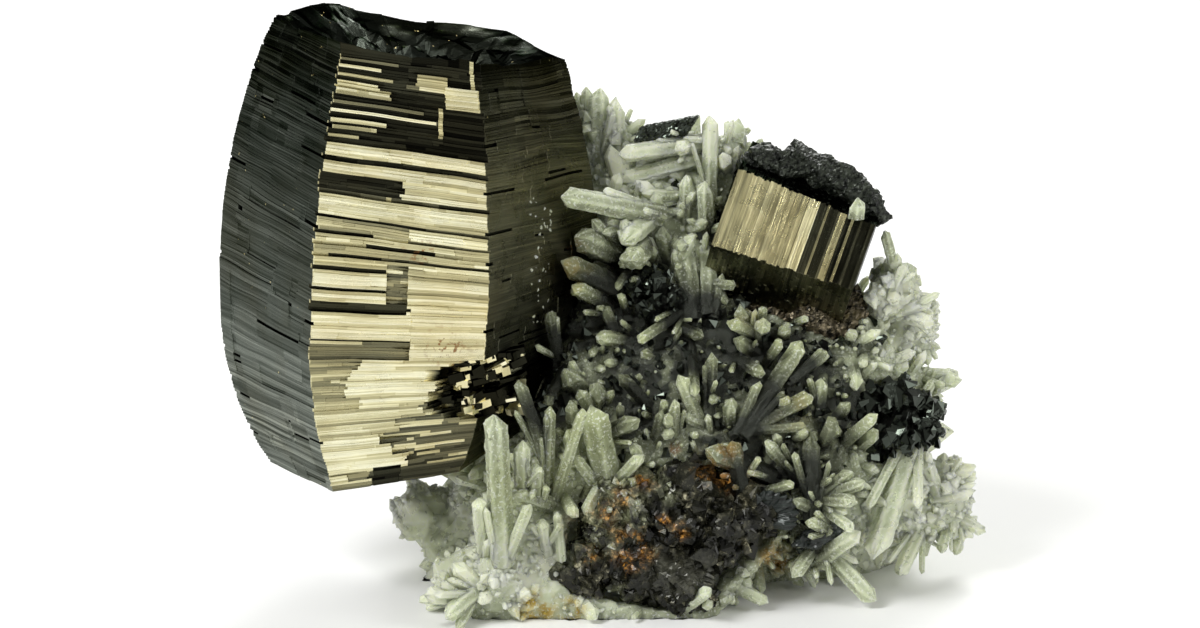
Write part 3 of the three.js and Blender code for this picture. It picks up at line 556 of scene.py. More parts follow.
def needle(tip, foot, width, seed, fine=True, buried=BURIED_FOOT):
    """A quartz crystal: its points, its faces, and how far up and how near an edge each point is."""
    axis = unit(tip - foot)
    start = foot - axis * (buried if fine else width / 2)
    length = np.linalg.norm(tip - start)
    side = np.arange(6)
    angle = side * math.pi / 3 + seed
    radius = width / 2 * (0.92 + 0.2 * scatter(seed + side))
    shoulder = np.maximum(length - width * (0.3 + 0.65 * scatter(seed * 3 + side)), length * 0.4)
    corner = np.stack([np.cos(angle) * radius, np.sin(angle) * radius, shoulder], axis=1)
    following = np.roll(corner, -1, axis=0)
    parts = FINE_SECTION if fine else PLAIN_SECTION
    section = np.stack([mix(corner, following, share) for share, _ in parts], axis=1).reshape(-1, 3)
    leaning = width * 0.2 * (scatter(np.array([seed, seed + 9])) - 0.5)
    apex = np.array([*leaning, length])
    rings, along = [], []
    body_rings = max(3, int(length / 0.6)) if fine else 2
    for ring in range(body_rings):
        share = ring / body_rings
        step = 1.02 - 0.07 * share + 0.07 * (scatter(seed * 7 + int(share * 5)) - 0.6)
        rings.append(section * (step, step, share))
        along.append(share * 0.8)
    worn_tip = 0.78 + 0.18 * scatter(seed * 2.3)
    for share in (0.0, 0.12, 0.45, worn_tip) if fine else (0.0, 0.84):
        rings.append(mix(section * (0.95, 0.95, 1), apex, share))
        along.append(0.85 + 0.15 * share)
    random = np.random.default_rng(int(seed * 10))
    wobble = random.normal(size=(len(rings), len(section), 3)) * 0.016 * width
    local = (np.array(rings) + wobble).reshape(-1, 3)
    top = mix(section.mean(axis=0), apex, worn_tip + 0.1)
    local = np.concatenate([local, [top, [0, 0, 0]]])
    turn = np.array(Vector((0, 0, 1)).rotation_difference(Vector(axis)).to_matrix())
    points = local @ turn.T + start
    points[:, 2] = np.maximum(points[:, 2], 0)
    count = len(section)
    faces = tube_faces(len(rings), count)
    rise = np.concatenate([np.repeat(along, count), [1.0, 0.0]]) * mix(0.62, 1.15, scatter(seed * 4.4))
    edge = np.concatenate([np.tile([near for _, near in parts], 6 * len(rings)), [1.0, 0.0]])
    return points, faces, {"rise": rise, "edge": edge}


def tube_faces(rings, count):
    """The faces between rings of equally many points, closed by a point at each end after them."""
    faces = []
    for ring in range(rings - 1):
        below, above = ring * count, (ring + 1) * count
        for i in range(count):
            after = (i + 1) % count
            faces.append([below + i, below + after, above + after, above + i])
    last, top, bottom = (rings - 1) * count, rings * count, rings * count + 1
    for i in range(count):
        after = (i + 1) % count
        faces.append([last + i, last + after, top])
        faces.append([after, i, bottom])
    return faces


# Crystals from this width up, in millimetres, have two twins
LEAST_WIDTH_WITH_TWINS = 1.25


def needles(lists):
    """The crystals of several lists, each with its first crystal's seed, and twins of the larger ones."""
    shape = Shape()
    for first_seed, crystals in lists:
        for i, (*ends, width) in enumerate(crystals):
            seed = first_seed + i
            tip, foot = from_view(*ends[:3]), from_view(*ends[3:])
            add_crystal(shape, needle(tip, foot, width, seed))
            for twin in range(2 if width > LEAST_WIDTH_WITH_TWINS else 0):
                chance = scatter(seed * 1.7 + twin * 5.1 + np.arange(4))
                beside = np.array([math.cos(seed + 2.2 * twin), -0.4, math.sin(seed + 2.2 * twin)])
                lean = (tip - foot) * (0.3 + 0.4 * chance[0]) + beside * width * (0.3 + 0.8 * chance[1])
                base = foot + beside * width * 0.45
                slim = width * (0.3 + 0.3 * chance[2])
                add_crystal(shape, needle(base + lean, base, slim, seed + 0.3 + twin / 10))
    return shape


def add_crystal(shape, made):
    points, faces, values = made
    shape.add(points, faces, **values)


def back_needles():
    """Needles over the back and the top, in rows that follow the ridge."""
    rows, per_row, begin, sweep, ridge = 4, 5, -12, 172, 48
    shape = Shape()
    for row in range(rows):
        for i in range(per_row):
            seed = 200 + row * per_row + i
            around = math.radians(begin + sweep * ((i + scatter(seed)) / per_row))
            height = 5 + row * (9 - 2 * math.cos(around)) + 4 * scatter(seed + 0.5)
            spread = 1 - 0.45 * (height / ridge) ** 2
            across, back = math.cos(around), math.sin(around)
            foot = np.array([9 + 22 * spread * across, 1 + 13 * spread * back, height])
            rise = 0.15 + height / 70 + 0.5 * scatter(seed + 7)
            out = np.array([across + scatter(seed + 3) - 0.5, back, rise])
            tip = foot + unit(out) * (3.5 + 4 * scatter(seed + 5))
            add_crystal(shape, needle(tip, foot, 1.5 + 1.3 * scatter(seed + 2), seed))
    return shape


# The side of a plate is a row of this many even points, a pair of points at each of its breaks, and one
# more this share of it from its first corner, for a painted highlight along the arris
EVEN_POINTS = 12
BREAKS = 5
ARRIS = 0.009


def side_points(breaks):
    """Shares along a side, with a close pair at each break, and the segment that each share is in."""
    even = np.linspace(0, 0.996, EVEN_POINTS)
    breaks = np.sort(breaks)
    shares = np.concatenate([even, [ARRIS], breaks - 0.001, breaks + 0.001])
    order = np.argsort(shares, kind="stable")
    shares = np.clip(shares[order], 0, 0.999)
    return shares, np.searchsorted(breaks, shares)


def plate_outline(corners, half_width, sides):
    """The outline of a plate whose sides are rows of shares and insets, which meet in sharp corners."""
    nominal = np.array(corners) * half_width
    along = np.roll(nominal, -1, axis=0) - nominal
    inward = unit(np.stack([-along[:, 1], along[:, 0]], axis=1))
    met = []
    for i in range(6):
        lines = np.stack([inward[i - 1], inward[i]])
        reach = lines @ nominal[i] + (sides[i - 1][1][-1], sides[i][1][0])
        met.append(np.linalg.solve(lines, reach))
    outline = []
    for i, (shares, insets) in enumerate(sides):
        level = mix(insets[0], insets[-1], shares)
        line = mix(met[i], met[(i + 1) % 6], shares[:, None])
        outline.append(line + (insets - level)[:, None] * inward[i])
    return np.concatenate(outline)


def barrel_half_width(t):
    """The barrel's half width falls away from its widest plate towards both ends."""
    if t > BARREL_WIDEST_AT:
        share, taper, power = (t - BARREL_WIDEST_AT) / (1 - BARREL_WIDEST_AT), BARREL_TOP_TAPER, 2
    else:
        share, taper, power = (BARREL_WIDEST_AT - t) / BARREL_WIDEST_AT, BARREL_BOTTOM_TAPER, 2.3
    return BARREL_HALF_WIDTH * (1 - taper * share ** power)


def barrel_place(t, local):
    """Where the plate at t, from 0 at the bottom to 1 at the top, puts points of its own plane."""
    centre = mix(np.array(BARREL_BOTTOM["centre"]), np.array(BARREL_TOP["centre"]), t)
    tilt = math.radians(-mix(BARREL_BOTTOM["tilt"], BARREL_TOP["tilt"], min(1, t * 1.6)))
    pitch = math.radians(mix(BARREL_BOTTOM["pitch"], BARREL_TOP["pitch"], t))
    return local @ (turned(pitch, "X") @ turned(tilt, "Y")).T + centre


BARREL_HEIGHT = math.dist(BARREL_BOTTOM["centre"], BARREL_TOP["centre"])
BROKEN_CORNER = {"height": 10.6, "reach_up": 3.7, "reach_along": 4.4, "depth": 2.6}


def broken_away(side, shares, length, height):
    """How far the front right corner has broken back at points of the front and of the right side."""
    from_corner = {0: (1 - shares) * length, 1: shares * length}.get(side)
    if from_corner is None:
        return np.zeros(len(shares))
    up = (height - BROKEN_CORNER["height"]) / BROKEN_CORNER["reach_up"]
    inside = 1 - up * up - (from_corner / BROKEN_CORNER["reach_along"]) ** 2
    rough = 0.6 + 0.7 * scatter(np.floor(shares * 16) * 1.7 + round(height * 0.8) * 3.1)
    return BROKEN_CORNER["depth"] * np.sqrt(np.clip(inside, 0, 1)) * rough


# How bright the painted reflection of one band's plates is from its lowest to its highest: golden at the
# bottom, duller on top
BAND_SHADE = (0.84, 1.14, 1.08, 0.76)


def front_side(band, height, seed, within_band):
    """Shares, insets and painted reflection and shade along the barrel's front face at a height above its
    foot.
    """
    _, left, split, right = band
    patches = [patch for patch in FRONT_PATCHES if patch[2] <= height <= patch[3]][:2]
    breaks = [split + 0.03 * (scatter(seed) - 0.5)]
    for patch in patches:
        breaks += [np.clip(patch[0], 0.01, 0.99), np.clip(patch[1], 0.01, 0.99)]
    breaks += [0.05 + 0.9 * scatter(seed + 1.3 * i) for i in range(BREAKS - len(breaks))]
    shares, segment = side_points(np.array(breaks))
    tone = np.where(shares < breaks[0], left, right)
    base = 0.95 - 0.85 * tone
    for begin, end, _, _, brightness, inset in patches:
        within = (shares >= begin) & (shares <= end)
        tone = np.where(within, brightness, tone)
        base = np.where(within, inset, base)
    tone = tone * np.interp(within_band, (0, 0.3, 0.65, 1), BAND_SHADE)
    # Bright slivers on dull plates: painted highlight
    sliver = (scatter(seed * 9.1 + segment * 3.7) > 0.8) & (tone > 0.1) & (tone < 0.4)
    tone = np.clip(tone + 0.22 * (scatter(seed * 3 + segment) - 0.5) * (0.4 + tone) + 0.5 * sliver, 0, 1)
    # A painted highlight along the front's left arris on most plates
    arris_highlight = (shares < 0.001) & (scatter(seed * 2.7) > 0.3)
    tone = np.where(arris_highlight, 0.85, tone)
    rough = 0.12 * (scatter(seed * 5 + segment) - 0.5) + 0.05 * scatter(seed * 7.7)
    return shares, np.clip(base * 0.7 + rough, 0, 1.2), tone


def other_side(side, height, plate, seed, brightness):
    """Shares, insets and painted reflection and shade along another of the barrel's faces, whose lines run on
    further.
    """
    slow = math.floor(height / 2.3)
    breaks = 0.04 + 0.92 * scatter(slow * 1.9 + np.arange(BREAKS) * 3.3 + side)
    shares, segment = side_points(breaks)
    group = math.floor(height / 1.1 + 0.5 * scatter(plate))
    # A chip is set back into the face and painted darker, as painted shade inside it
    chip = scatter(seed * 1.3 + segment * 2.9 + side) > 0.965
    lined = scatter(math.floor(height / 1.9 + 0.4 * side) * 2.3 + segment * 0.7 + side) ** 1.5
    inset = lined * (0.17 * scatter(group * 3.1 + side) + 0.06 * scatter(seed * 2.1 + side)) + 0.25 * chip
    calm = np.interp(height / BARREL_HEIGHT, (0.15, 0.35, 0.7, 0.85), (1, 0.4, 0.4, 1))
    fine = 1 + calm * (0.15 + lined) * (scatter(seed * 4.7 + side * 1.9) - 0.5)
    patch = 1 + 0.3 * calm * (scatter(slow * 1.3 + side * 5 + segment) - 0.5)
    return shares, inset, np.clip(brightness * fine * patch * (1 - 0.7 * chip), 0, 1)


# The brightness of the barrel's other faces, painted reflection and shade for the dark surroundings that
# they mirror, from the right one round to the left one, each at five even heights from the foot to the top
SIDE_BRIGHTNESS = [
    (0.36, 0.12, 0.34, 0.38, 0.08), (0.3, 0.35, 0.3, 0.22, 0.12), (0.4, 0.44, 0.38, 0.26, 0.14),
    (0.3, 0.36, 0.3, 0.22, 0.12), (0.5, 0.42, 0.32, 0.27, 0.19),
]


def sway(points, height):
    """How far a plate is lifted at its points, which makes the plates run in gentle waves."""
    x, y = points[:, 0], points[:, 1]
    free = np.clip((y + 14) / 8, 0.3, 1)
    wide = 0.17 * np.sin(0.33 * x + 0.21 * y + 0.5 * height)
    return free * (wide + 0.08 * np.sin(0.9 * x - 1.1 * height + 2))


def barrel_plates():
    """Each plate's height at its underside and its top, with its band and its place in that, from 0 to 1."""
    plates = []
    height = 0.0
    total = sum(band[0] for band in FRONT_BANDS)
    for band in FRONT_BANDS:
        thickness = band[0] * BARREL_HEIGHT / total
        count = max(1, round(thickness / PLATE_THICKNESS))
        for i in range(count):
            top = height + thickness / count
            plates.append((height, top, band, i / max(1, count - 1)))
            height = top
    return plates


def stack_shape(rings, tones, levels, ends, coolness, spacing, cool_rings=0):
    """A stack of plates from its rings, closed by end points with a brightness and a level each."""
    count = len(rings[0])
    end_points, end_tones, end_levels = ends
    cool = np.tile(np.repeat(coolness, count // 6).astype(float), (len(rings), 1))
    cool[len(rings) - cool_rings:] = 1
    shape = Shape()
    shape.add(
        np.concatenate([*rings, end_points]),
        tube_faces(len(rings), count),
        tone=np.concatenate([*tones, end_tones]),
        level=np.concatenate([*levels, end_levels]),
        across=np.append(np.tile(np.arange(count) * spacing, len(rings)), [0, 0]),
        cool=np.append(cool, [1, 1]),
    )
    return shape


def barrel_shape():
    """The barrel's plates one on another, its broken corner and its hollow top."""
    rings, tones, levels = [], [], []
    for plate, (foot, top, band, within_band) in enumerate(barrel_plates()):
        seed = plate * 1.37 + 3
        t0, t1 = foot / BARREL_HEIGHT, top / BARREL_HEIGHT
        half_width = min(barrel_half_width(t0), barrel_half_width(t1)) - 0.02
        middle = (foot + top) / 2
        sides, tone = [], []
        for side in range(6):
            if side == 0:
                shares, inset, brightness = front_side(band, middle, seed, within_band)
            else:
                even_heights = (0, 0.25, 0.5, 0.75, 1)
                level = np.interp(middle / BARREL_HEIGHT, even_heights, SIDE_BRIGHTNESS[side - 1])
                shares, inset, brightness = other_side(side, middle, plate, seed, level)
            start, end = BARREL_OUTLINE[side], BARREL_OUTLINE[(side + 1) % 6]
            broken = broken_away(side, shares, math.dist(start, end) * half_width, middle)
            # Painted shade on the broken corner's rubble, with a painted reflection on a few bits
            rubble = 0.04 + 0.5 * (scatter(seed + np.floor(shares * 9)) > 0.8)
            sides.append((shares, inset + broken))
            tone.append(np.where(broken > 0.2, rubble, brightness))
        lean = 0.05 * (scatter(seed * 6.1) - 0.5)
        for t, height, shrink in ((t0, foot, max(0, lean)), (t1, top, max(0, -lean))):
            outline = plate_outline(BARREL_OUTLINE, half_width - shrink, sides)
            local = np.column_stack([outline, sway(outline, t * BARREL_HEIGHT)])
            rings.append(barrel_place(t, local))
            tones.append(np.concatenate(tone))
            levels.append(np.full(len(outline), height))
    add_hollow_top(rings, tones, levels)
    end_points = np.concatenate([rings[-1].mean(axis=0)[None], barrel_place(0, np.zeros((1, 3)))])
    ends = (end_points, [0.03, 0.05], [BARREL_HEIGHT, 0])
    return stack_shape(rings, tones, levels, ends, [0, 0.45, 1, 1, 1, 1], 0.3, cool_rings=len(TERRACES))


# The sizes of the rough rings inside the barrel's hollow top
TERRACES = np.linspace(0.975, 0.12, 18)


def add_hollow_top(rings, tones, levels):
    """Raises the last ring to the ragged rim and adds the rough, hollow top inside it."""
    count = len(rings[-1])
    index = np.arange(count)
    parts = len(RIM_HEIGHTS)
    raised = np.interp(index / count * parts, np.arange(parts + 1), RIM_HEIGHTS + RIM_HEIGHTS[:1])
    rim = rings[-1].copy()
    rim[:, 2] += raised - 0.25 * scatter(np.floor(index / 3) * 2.7)
    rings[-1] = rim
    centre = rings[-2].mean(axis=0)
    for ring, size in enumerate(TERRACES):
        ragged = size - 0.035 * scatter(np.floor(index / 4 + ring * 0.7) * 1.9 + ring) * (1.05 - size)
        inner = mix(centre, rim, ragged[:, None])
        ledge = np.floor(index / 7 + ring * 0.5)
        step = 0.5 * (scatter(ledge * 1.3 + math.floor(ring / 2) * 2.9) - 0.5)
        bowl = mix(centre[2], rim[:, 2], size) - HOLLOW_DEPTH * (1 - size ** 2.2)
        inner[:, 2] = bowl + step * (1.1 - size)
        x, y = inner[:, 0], inner[:, 1]
        heave = 0.5 * np.sin(0.7 * x + 1.5 * y) + 0.35 * np.sin(1.7 * x - 0.8 * y + 2)
        heave += 0.2 * np.sin(3.1 * x + 2.3 * y)
        inner[:, 2] += heave * min(1, 2.5 * (1 - size))
        rings.append(inner)
        # Painted shade: the hollow top nearly black, with a faint painted sheen on scattered facets
        tones.append(0.07 + 0.35 * scatter(np.floor(x / 2.3 + 0.3 * y) * 3.1 + np.floor(y / 1.3) * 7.7) ** 4)
        levels.append(BARREL_HEIGHT + y + 2 * heave)


def crumb_blocks():
    """Little blocks of plates left in the broken corner, some painted bright as a reflection and the rest
    dark as shade.
    """
    cube = np.array([(x, y, z) for x in (-0.5, 0.5) for y in (-0.5, 0.5) for z in (-0.5, 0.5)])
    shape = Shape()
    for i in range(60):
        across = mix(-15.2, -8.2, scatter(i * 1.7))
        up = mix(-10.2, -3.6, scatter(i * 2.9 + 1))
        depth = mix(-17.6, -14.2, (across + 15.2) / 7) + 0.8 * scatter(i + 0.3)
        width = 0.7 + 1.9 * scatter(i * 3.3) ** 2
        size = np.array([width, 0.6 + 0.8 * scatter(i * 4.1), 0.3 + 0.6 * scatter(i * 5.7)])
        turn = mix(-0.2, 0.9, scatter(i * 6.3))
        lean = mix(-0.45, 0.1, scatter(i * 7.1))
        placed = cube * size @ (turned(turn, "Z") @ turned(lean, "Y")).T + from_view(across, up, depth)
        points, faces = hull(placed)
        # Painted reflection on about half the blocks, painted shade on the others
        block_reflection = 0.85 if scatter(i * 8.3) > 0.5 else 0.03
        shape.add(points, faces, tone=block_reflection, level=i * 3.1, across=points[:, 0])
    return shape


def small_frame():
    """The small stack's own frame: Z along the stack to the right, and -Y out of the bright face."""
    dip, turn, lift = (math.radians(value) for value in (SMALL_DIP, SMALL_TURN, SMALL_FACE_LIFT))
    level = math.cos(dip)
    axis = np.array([level * math.cos(turn), level * math.sin(turn), -math.sin(dip)])
    face = np.array([0, -math.cos(lift), math.sin(lift)])
    face = unit(face - (face @ axis) * axis)
    side = np.cross(-face, axis)
    start = np.array(SMALL_FACE_CENTRE) - face * SMALL_HALF_WIDTH * FACE_DISTANCE - axis * SMALL_LENGTH / 2
    return np.stack([side, -face, axis], axis=1), start


# Where the small stack's levels start, clear of the barrel's, so that their fine lines differ
SMALL_LEVEL = 60

# The stripes of the small stack's bright face from its left end: the thickness and the brightness, which
# is a painted reflection of the light
SMALL_STRIPES = [
    (0.5, 0.44), (0.4, 0.52), (0.25, 0.4), (0.6, 0.54), (0.5, 0.62), (0.2, 0.42), (0.8, 0.64), (0.5, 0.5),
    (0.7, 0.68), (0.5, 0.6), (0.3, 0.5), (0.9, 0.7), (0.2, 0.5), (0.6, 0.64), (0.4, 0.56), (0.35, 0.46),
    (0.5, 0.62), (0.15, 0.38), (1.2, 0.8), (0.9, 0.1), (0.25, 0.42), (1.0, 0.07), (0.25, 0.25),
    (0.75, 0.58), (0.6, 0.05), (0.3, 0.46), (0.7, 0.05), (0.25, 0.15), (0.9, 0.04), (0.5, 0.12),
]


def small_shape():
    """The plates of the small stack."""
    turn, start = small_frame()
    total = sum(stripe[0] for stripe in SMALL_STRIPES)
    rings, tones, levels = [], [], []
    along = 0.0
    plate = 0
    for thickness, brightness in SMALL_STRIPES:
        thickness *= SMALL_LENGTH / total
        count = max(1, round(thickness / PLATE_THICKNESS))
        for _ in range(count):
            seed = plate * 2.3 + 90
            half_width = SMALL_HALF_WIDTH * (1 - SMALL_END_TAPER * along / SMALL_LENGTH)
            sides, tone = [], []
            for side in range(6):
                breaks = 0.04 + 0.92 * scatter(seed * 1.9 + np.arange(BREAKS) * 3.3 + side)
                shares, segment = side_points(breaks)
                # The bright face's stripes are painted reflection; the other faces are painted darker, as
                # painted shade
                if side == 0:
                    inset = np.full(len(shares), 0.08 * (1 - brightness) + 0.01 * scatter(seed))
                    shade = np.clip(brightness + 0.05 * (scatter(seed * 3) - 0.5), 0, 1)
                    tone.append(np.full(len(shares), shade))
                else:
                    inset = 0.22 * scatter(seed * 2.1 + side + 0.3 * segment)
                    shade = 0.4 if side == 1 else 0.15
                    tone.append(shade * (0.6 + 0.8 * scatter(seed * 4.7 + side + segment)))
                sides.append((shares, inset))
            outline = plate_outline(REGULAR_OUTLINE, half_width, sides)
            for level in (along, along + thickness / count):
                height = np.full(len(outline), level)
                rings.append(np.column_stack([outline, height]) @ turn.T + start)
                tones.append(np.concatenate(tone))
                levels.append(height + SMALL_LEVEL)
            along += thickness / count
            plate += 1
    end_points = np.array([[0, 0, SMALL_LENGTH], [0, 0, 0]]) @ turn.T + start
    ends = (end_points, [0.1, 0.1], [SMALL_LEVEL + SMALL_LENGTH, SMALL_LEVEL])
    return stack_shape(rings, tones, levels, ends, [0, 0.6, 1, 1, 1, 1], 0.1)


def crust_shape(clouds, voxel, cell, seed, flatness=0.85, tumble=0.5, trim=None, sockets=()):
    """A faceted skin around convex solids, cut off flat at the foot, and its points and directions."""
    points, faces, normals = fused(clouds, voxel, sockets)
    points, grain = faceted(points, normals, cell, flatness, tumble, seed)
    if trim is not None:
        points = trim(points)
    points[:, 2] = np.maximum(points[:, 2], 0)
    shape = Shape()
    shape.add(points, faces, grain=grain, rise=0.25 + 0.35 * grain, edge=0.3)
    return shape, (points, normals)


def trim_ore_face(points):
    """Cuts the ore back to its flat broken face."""
    centre = from_view(*ORE_FACE_CENTRE)
    normal = np.array([math.sin(ORE_FACE_TURN), -math.cos(ORE_FACE_TURN), -math.sin(ORE_FACE_SLOPE)])
    normal = unit(normal)
    level = (points - centre) @ -normal - ORE_FACE_DEPTH / 2
    before = (level < 0) & (points[:, 2] < centre[2] + ORE_FACE_REACH)
    return points + np.where(before, level, 0)[:, None] * normal


def shard(middle, reach, random):
    """A small faceted crystal without a long axis, as points and faces."""
    cloud = unit(random.normal(size=(9, 3)))
    return hull(middle + cloud * reach * (1, 1, 1.15))


def cluster_shape(group, count, size, seed):
    """Small faceted crystals grown all over a group of lumps."""
    random = np.random.default_rng(seed)
    shape = Shape()
    for across, up, depth, radius in group["places"]:
        centre = from_view(across, up, depth)
        shape.add(*hull(lump(centre, radius * 0.86, seed, 14)), grain=0.5)
        for _ in range(count):
            out = unit(random.normal(size=3))
            reach = mix(*size, random.random())
            shape.add(*shard(centre + out * (radius - reach * 0.62), reach, random), grain=random.random())
    return shape


def scattered(crust, chance, count, seed, make, clear_of=()):
    """What is made at places of a crust, chosen by their chance, where its tip stays clear of some solids."""
    random = np.random.default_rng(seed)
    low, high = LOW + 0.2, HIGH - 0.2
    points, normals = crust
    shape = Shape()
    placed = 0
    for index in random.permutation(len(points)):
        if placed == count:
            break
        foot = points[index]
        if random.random() > chance[index] or foot[2] < 0.3:
            continue
        made, tip = make(foot, normals[index], random)
        if (tip > low).all() and (tip < high).all() and not is_within(tip, clear_of, 0.4):
            add_crystal(shape, made)
            placed += 1
    return shape


def sprout(foot, normal, random):
    """A small quartz crystal that leans about the crust's outward direction, larger at the back."""
    sugary = min(1, spots(foot[None], FRONT_MARKS["pale"])[0])
    hollow = spots(foot[None], FRONT_MARKS["smoke_and_shade"])[0]
    out = unit(normal + mix(0.5, 0.35, sugary) * random.normal(size=3))
    large = 1.5 if foot[1] > 4 else 1
    width = (mix(0.35, 0.6, sugary) + mix(1.3, 1.1, sugary) * random.random() ** 4) * large
    ratio = mix(0.6 + 3.4 * random.random() ** 2, 0.35 + 0.5 * random.random(), sugary) + hollow
    tip = foot + out * width * ratio
    points, faces, values = needle(tip, foot, width, int(random.integers(1e6)), fine=False)
    values["rise"] = 0.25 + 0.75 * values["rise"]
    return (points, faces, values), tip


def black_shard(foot, normal, random):
    """A small black crystal half sunk in the crust."""
    reach = 0.3 + 0.5 * random.random() ** 2
    middle = foot + 0.2 * reach * normal
    points, faces = shard(middle, reach, random)
    return (points, faces, {"grain": random.random()}), middle + reach * normal


def ore_shard(foot, normal, random):
    """A small angular piece of ore half sunk in it."""
    reach = 0.25 + 1.4 * random.random() ** 4
    points, faces = shard(foot - 0.25 * reach * normal, reach, random)
    return (points, faces, {"grain": random.random()}), foot


def quartz_grain(foot, normal, random):
    """A small grain of quartz half sunk in the ore."""
    reach = 0.2 + 0.5 * random.random() ** 3
    points, faces = shard(foot, reach, random)
    return (points, faces, {"grain": 0.5, "rise": 0.3, "edge": 0.2}), foot


def barrel_grains():
    """A line of tiny quartz grains on the barrel's right face."""
    random = np.random.default_rng(8)
    shape = Shape()
    for _ in range(46):
        across = mix(-7.4, -4.9, random.random())
        up = mix(12.5, -1, random.random())
        sight = (from_view(across, up, depth) for depth in np.arange(-18, 6, 0.1))
        seen = next((point for point in sight if is_within(point, TAKEN[:1], 0)), None)
        if seen is not None:
            shape.add(*shard(seen, 0.12 + 0.16 * random.random(), random), rise=1, edge=1)
    return shape


def barrel_skin(margin):
    """Points around the barrel, this far outside it."""
    rings = []
    for t in np.linspace(0, 1, 13):
        outline = np.array(BARREL_OUTLINE) * (barrel_half_width(t) + margin)
        rings.append(barrel_place(t, np.column_stack([outline, np.zeros(6)])))
    return np.concatenate(rings)


def small_skin():
    """The corners of the small stack's first and last plates."""
    turn, start = small_frame()
    corners = []
    for along, taper in ((0, 0), (SMALL_LENGTH, SMALL_END_TAPER)):
        outline = np.array(REGULAR_OUTLINE) * SMALL_HALF_WIDTH * (1 - taper)
        corners.append(np.column_stack([outline, np.full(6, along)]) @ turn.T + start)
    return np.concatenate(corners)


def blade_cloud(blade):
    return np.array([
        from_view(across, up, blade[end]) for across, up in blade["outline"] for end in ("front", "back")
    ])


# What the quartz grows around, as clouds of points
BARREL_SOCKET = barrel_skin(-0.1)
SMALL_SOCKET = np.concatenate([small_skin(), *lumps(CRUST_LUMPS), *lumps(MASSIVE_LUMPS)])
SOCKETS = [
    BARREL_SOCKET, SMALL_SOCKET, np.concatenate(lumps(ORE_LUMPS)),
    np.concatenate(lumps(RIGHT_SPHALERITE_LUMPS)), np.concatenate(lumps(CENTRE_SPHALERITE_LUMPS)),
    blade_cloud(TOP_BLADE), blade_cloud(LOWER_BLADE),
]
TAKEN = [planes_of(socket) for socket in SOCKETS]


class Look:
    """A material, its shader and the nodes that feed it. Each input is a value or a node's output."""

    def __init__(self, name, roughness, metallic=0.0, ior=1.5):
        self.material = bpy.data.materials.new(name)
        self.material.use_nodes = True
        self.tree = self.material.node_tree
        self.shader = self.tree.nodes["Principled BSDF"]
        self.where = self.node("TexCoord", {}, "Object")
        self.set(Roughness=roughness, Metallic=metallic, IOR=ior)

    def fill(self, socket, value):
        if isinstance(value, bpy.types.NodeSocket):
            self.tree.links.new(value, socket)
        elif socket.type == "RGBA":
            socket.default_value = (*value, 1)
        else:
            socket.default_value = value

    def set(self, **inputs):
        """Fills inputs of the shader, by their names with underscores."""
        for name, value in inputs.items():
            self.fill(self.shader.inputs[name.replace("_", " ")], value)

    def node(self, kind, inputs, output=0, **settings):
        """An output of a new node, whose inputs are given by name or by number."""
        made = self.tree.nodes.new("ShaderNode" + kind)
        for name, value in settings.items():
            setattr(made, name, value)
        for key, value in inputs.items():
            self.fill(made.inputs[key], value)
        return made.outputs[output]

    def attribute(self, name):
        return self.node("Attribute", {}, "Fac", attribute_name=name)

    def noise(self, scale, detail=3.0, roughness=0.6, vector=None):
        """Noise at a scale per metre of the object, or along another vector."""
        inputs = {"Scale": scale, "Detail": detail, "Roughness": roughness}
        inputs["Vector"] = self.where if vector is None else vector
        return self.node("TexNoise", inputs, "Fac")

    def stretched(self, vector, scale):
        """A texture's places, drawn out along the directions of small scale."""
        return self.node("VectorMath", {0: vector, 1: scale}, operation="MULTIPLY")

    def ramp(self, value, *stops):
        """Greys or colours along a value: each stop is a position and a grey or a colour."""
        output = self.node("ValToRGB", {"Fac": value}, "Color")
        elements = output.node.color_ramp.elements
        while len(elements) < len(stops):
            elements.new(0.5)
        for element, (position, colour) in zip(elements, stops):
            element.position = position
            element.color = (*colour, 1) if isinstance(colour, tuple) else (colour, colour, colour, 1)
        return output

    def mask(self, value, start, full, most=1.0):
        """A share that is 0 up to the start and grows to the most where it is full."""
        return self.ramp(value, (start, 0.0), (full, most))

    def blend(self, factor, first, second, mode="MIX"):
        return self.node("Mix", {0: factor, 6: first, 7: second}, 2, data_type="RGBA", blend_type=mode)

    def maths(self, operation, *values):
        return self.node("Math", dict(enumerate(values)), operation=operation)

    def times(self, first, second):
        return self.maths("MULTIPLY", first, second)

    def weighed(self, *terms):
        """The sum of outputs, each times its weight."""
        total = 0.0
        for value, weight in reversed(terms):
            total = self.maths("MULTIPLY_ADD", value, weight, total)
        return total

    def varied(self, value, texture, amount):
        """A value made higher and lower by a texture in proportion to itself."""
        return self.times(value, self.maths("MULTIPLY_ADD", texture, 2 * amount, 1 - amount))

    def bump(self, height, distance, strength):
        """Adds relief of this depth in millimetres on top of what the shader has."""
        inputs = {"Height": height, "Distance": distance * MM, "Strength": strength}
        for under in self.shader.inputs["Normal"].links:
            inputs["Normal"] = under.from_socket
        self.set(Normal=self.node("Bump", inputs, "Normal"))


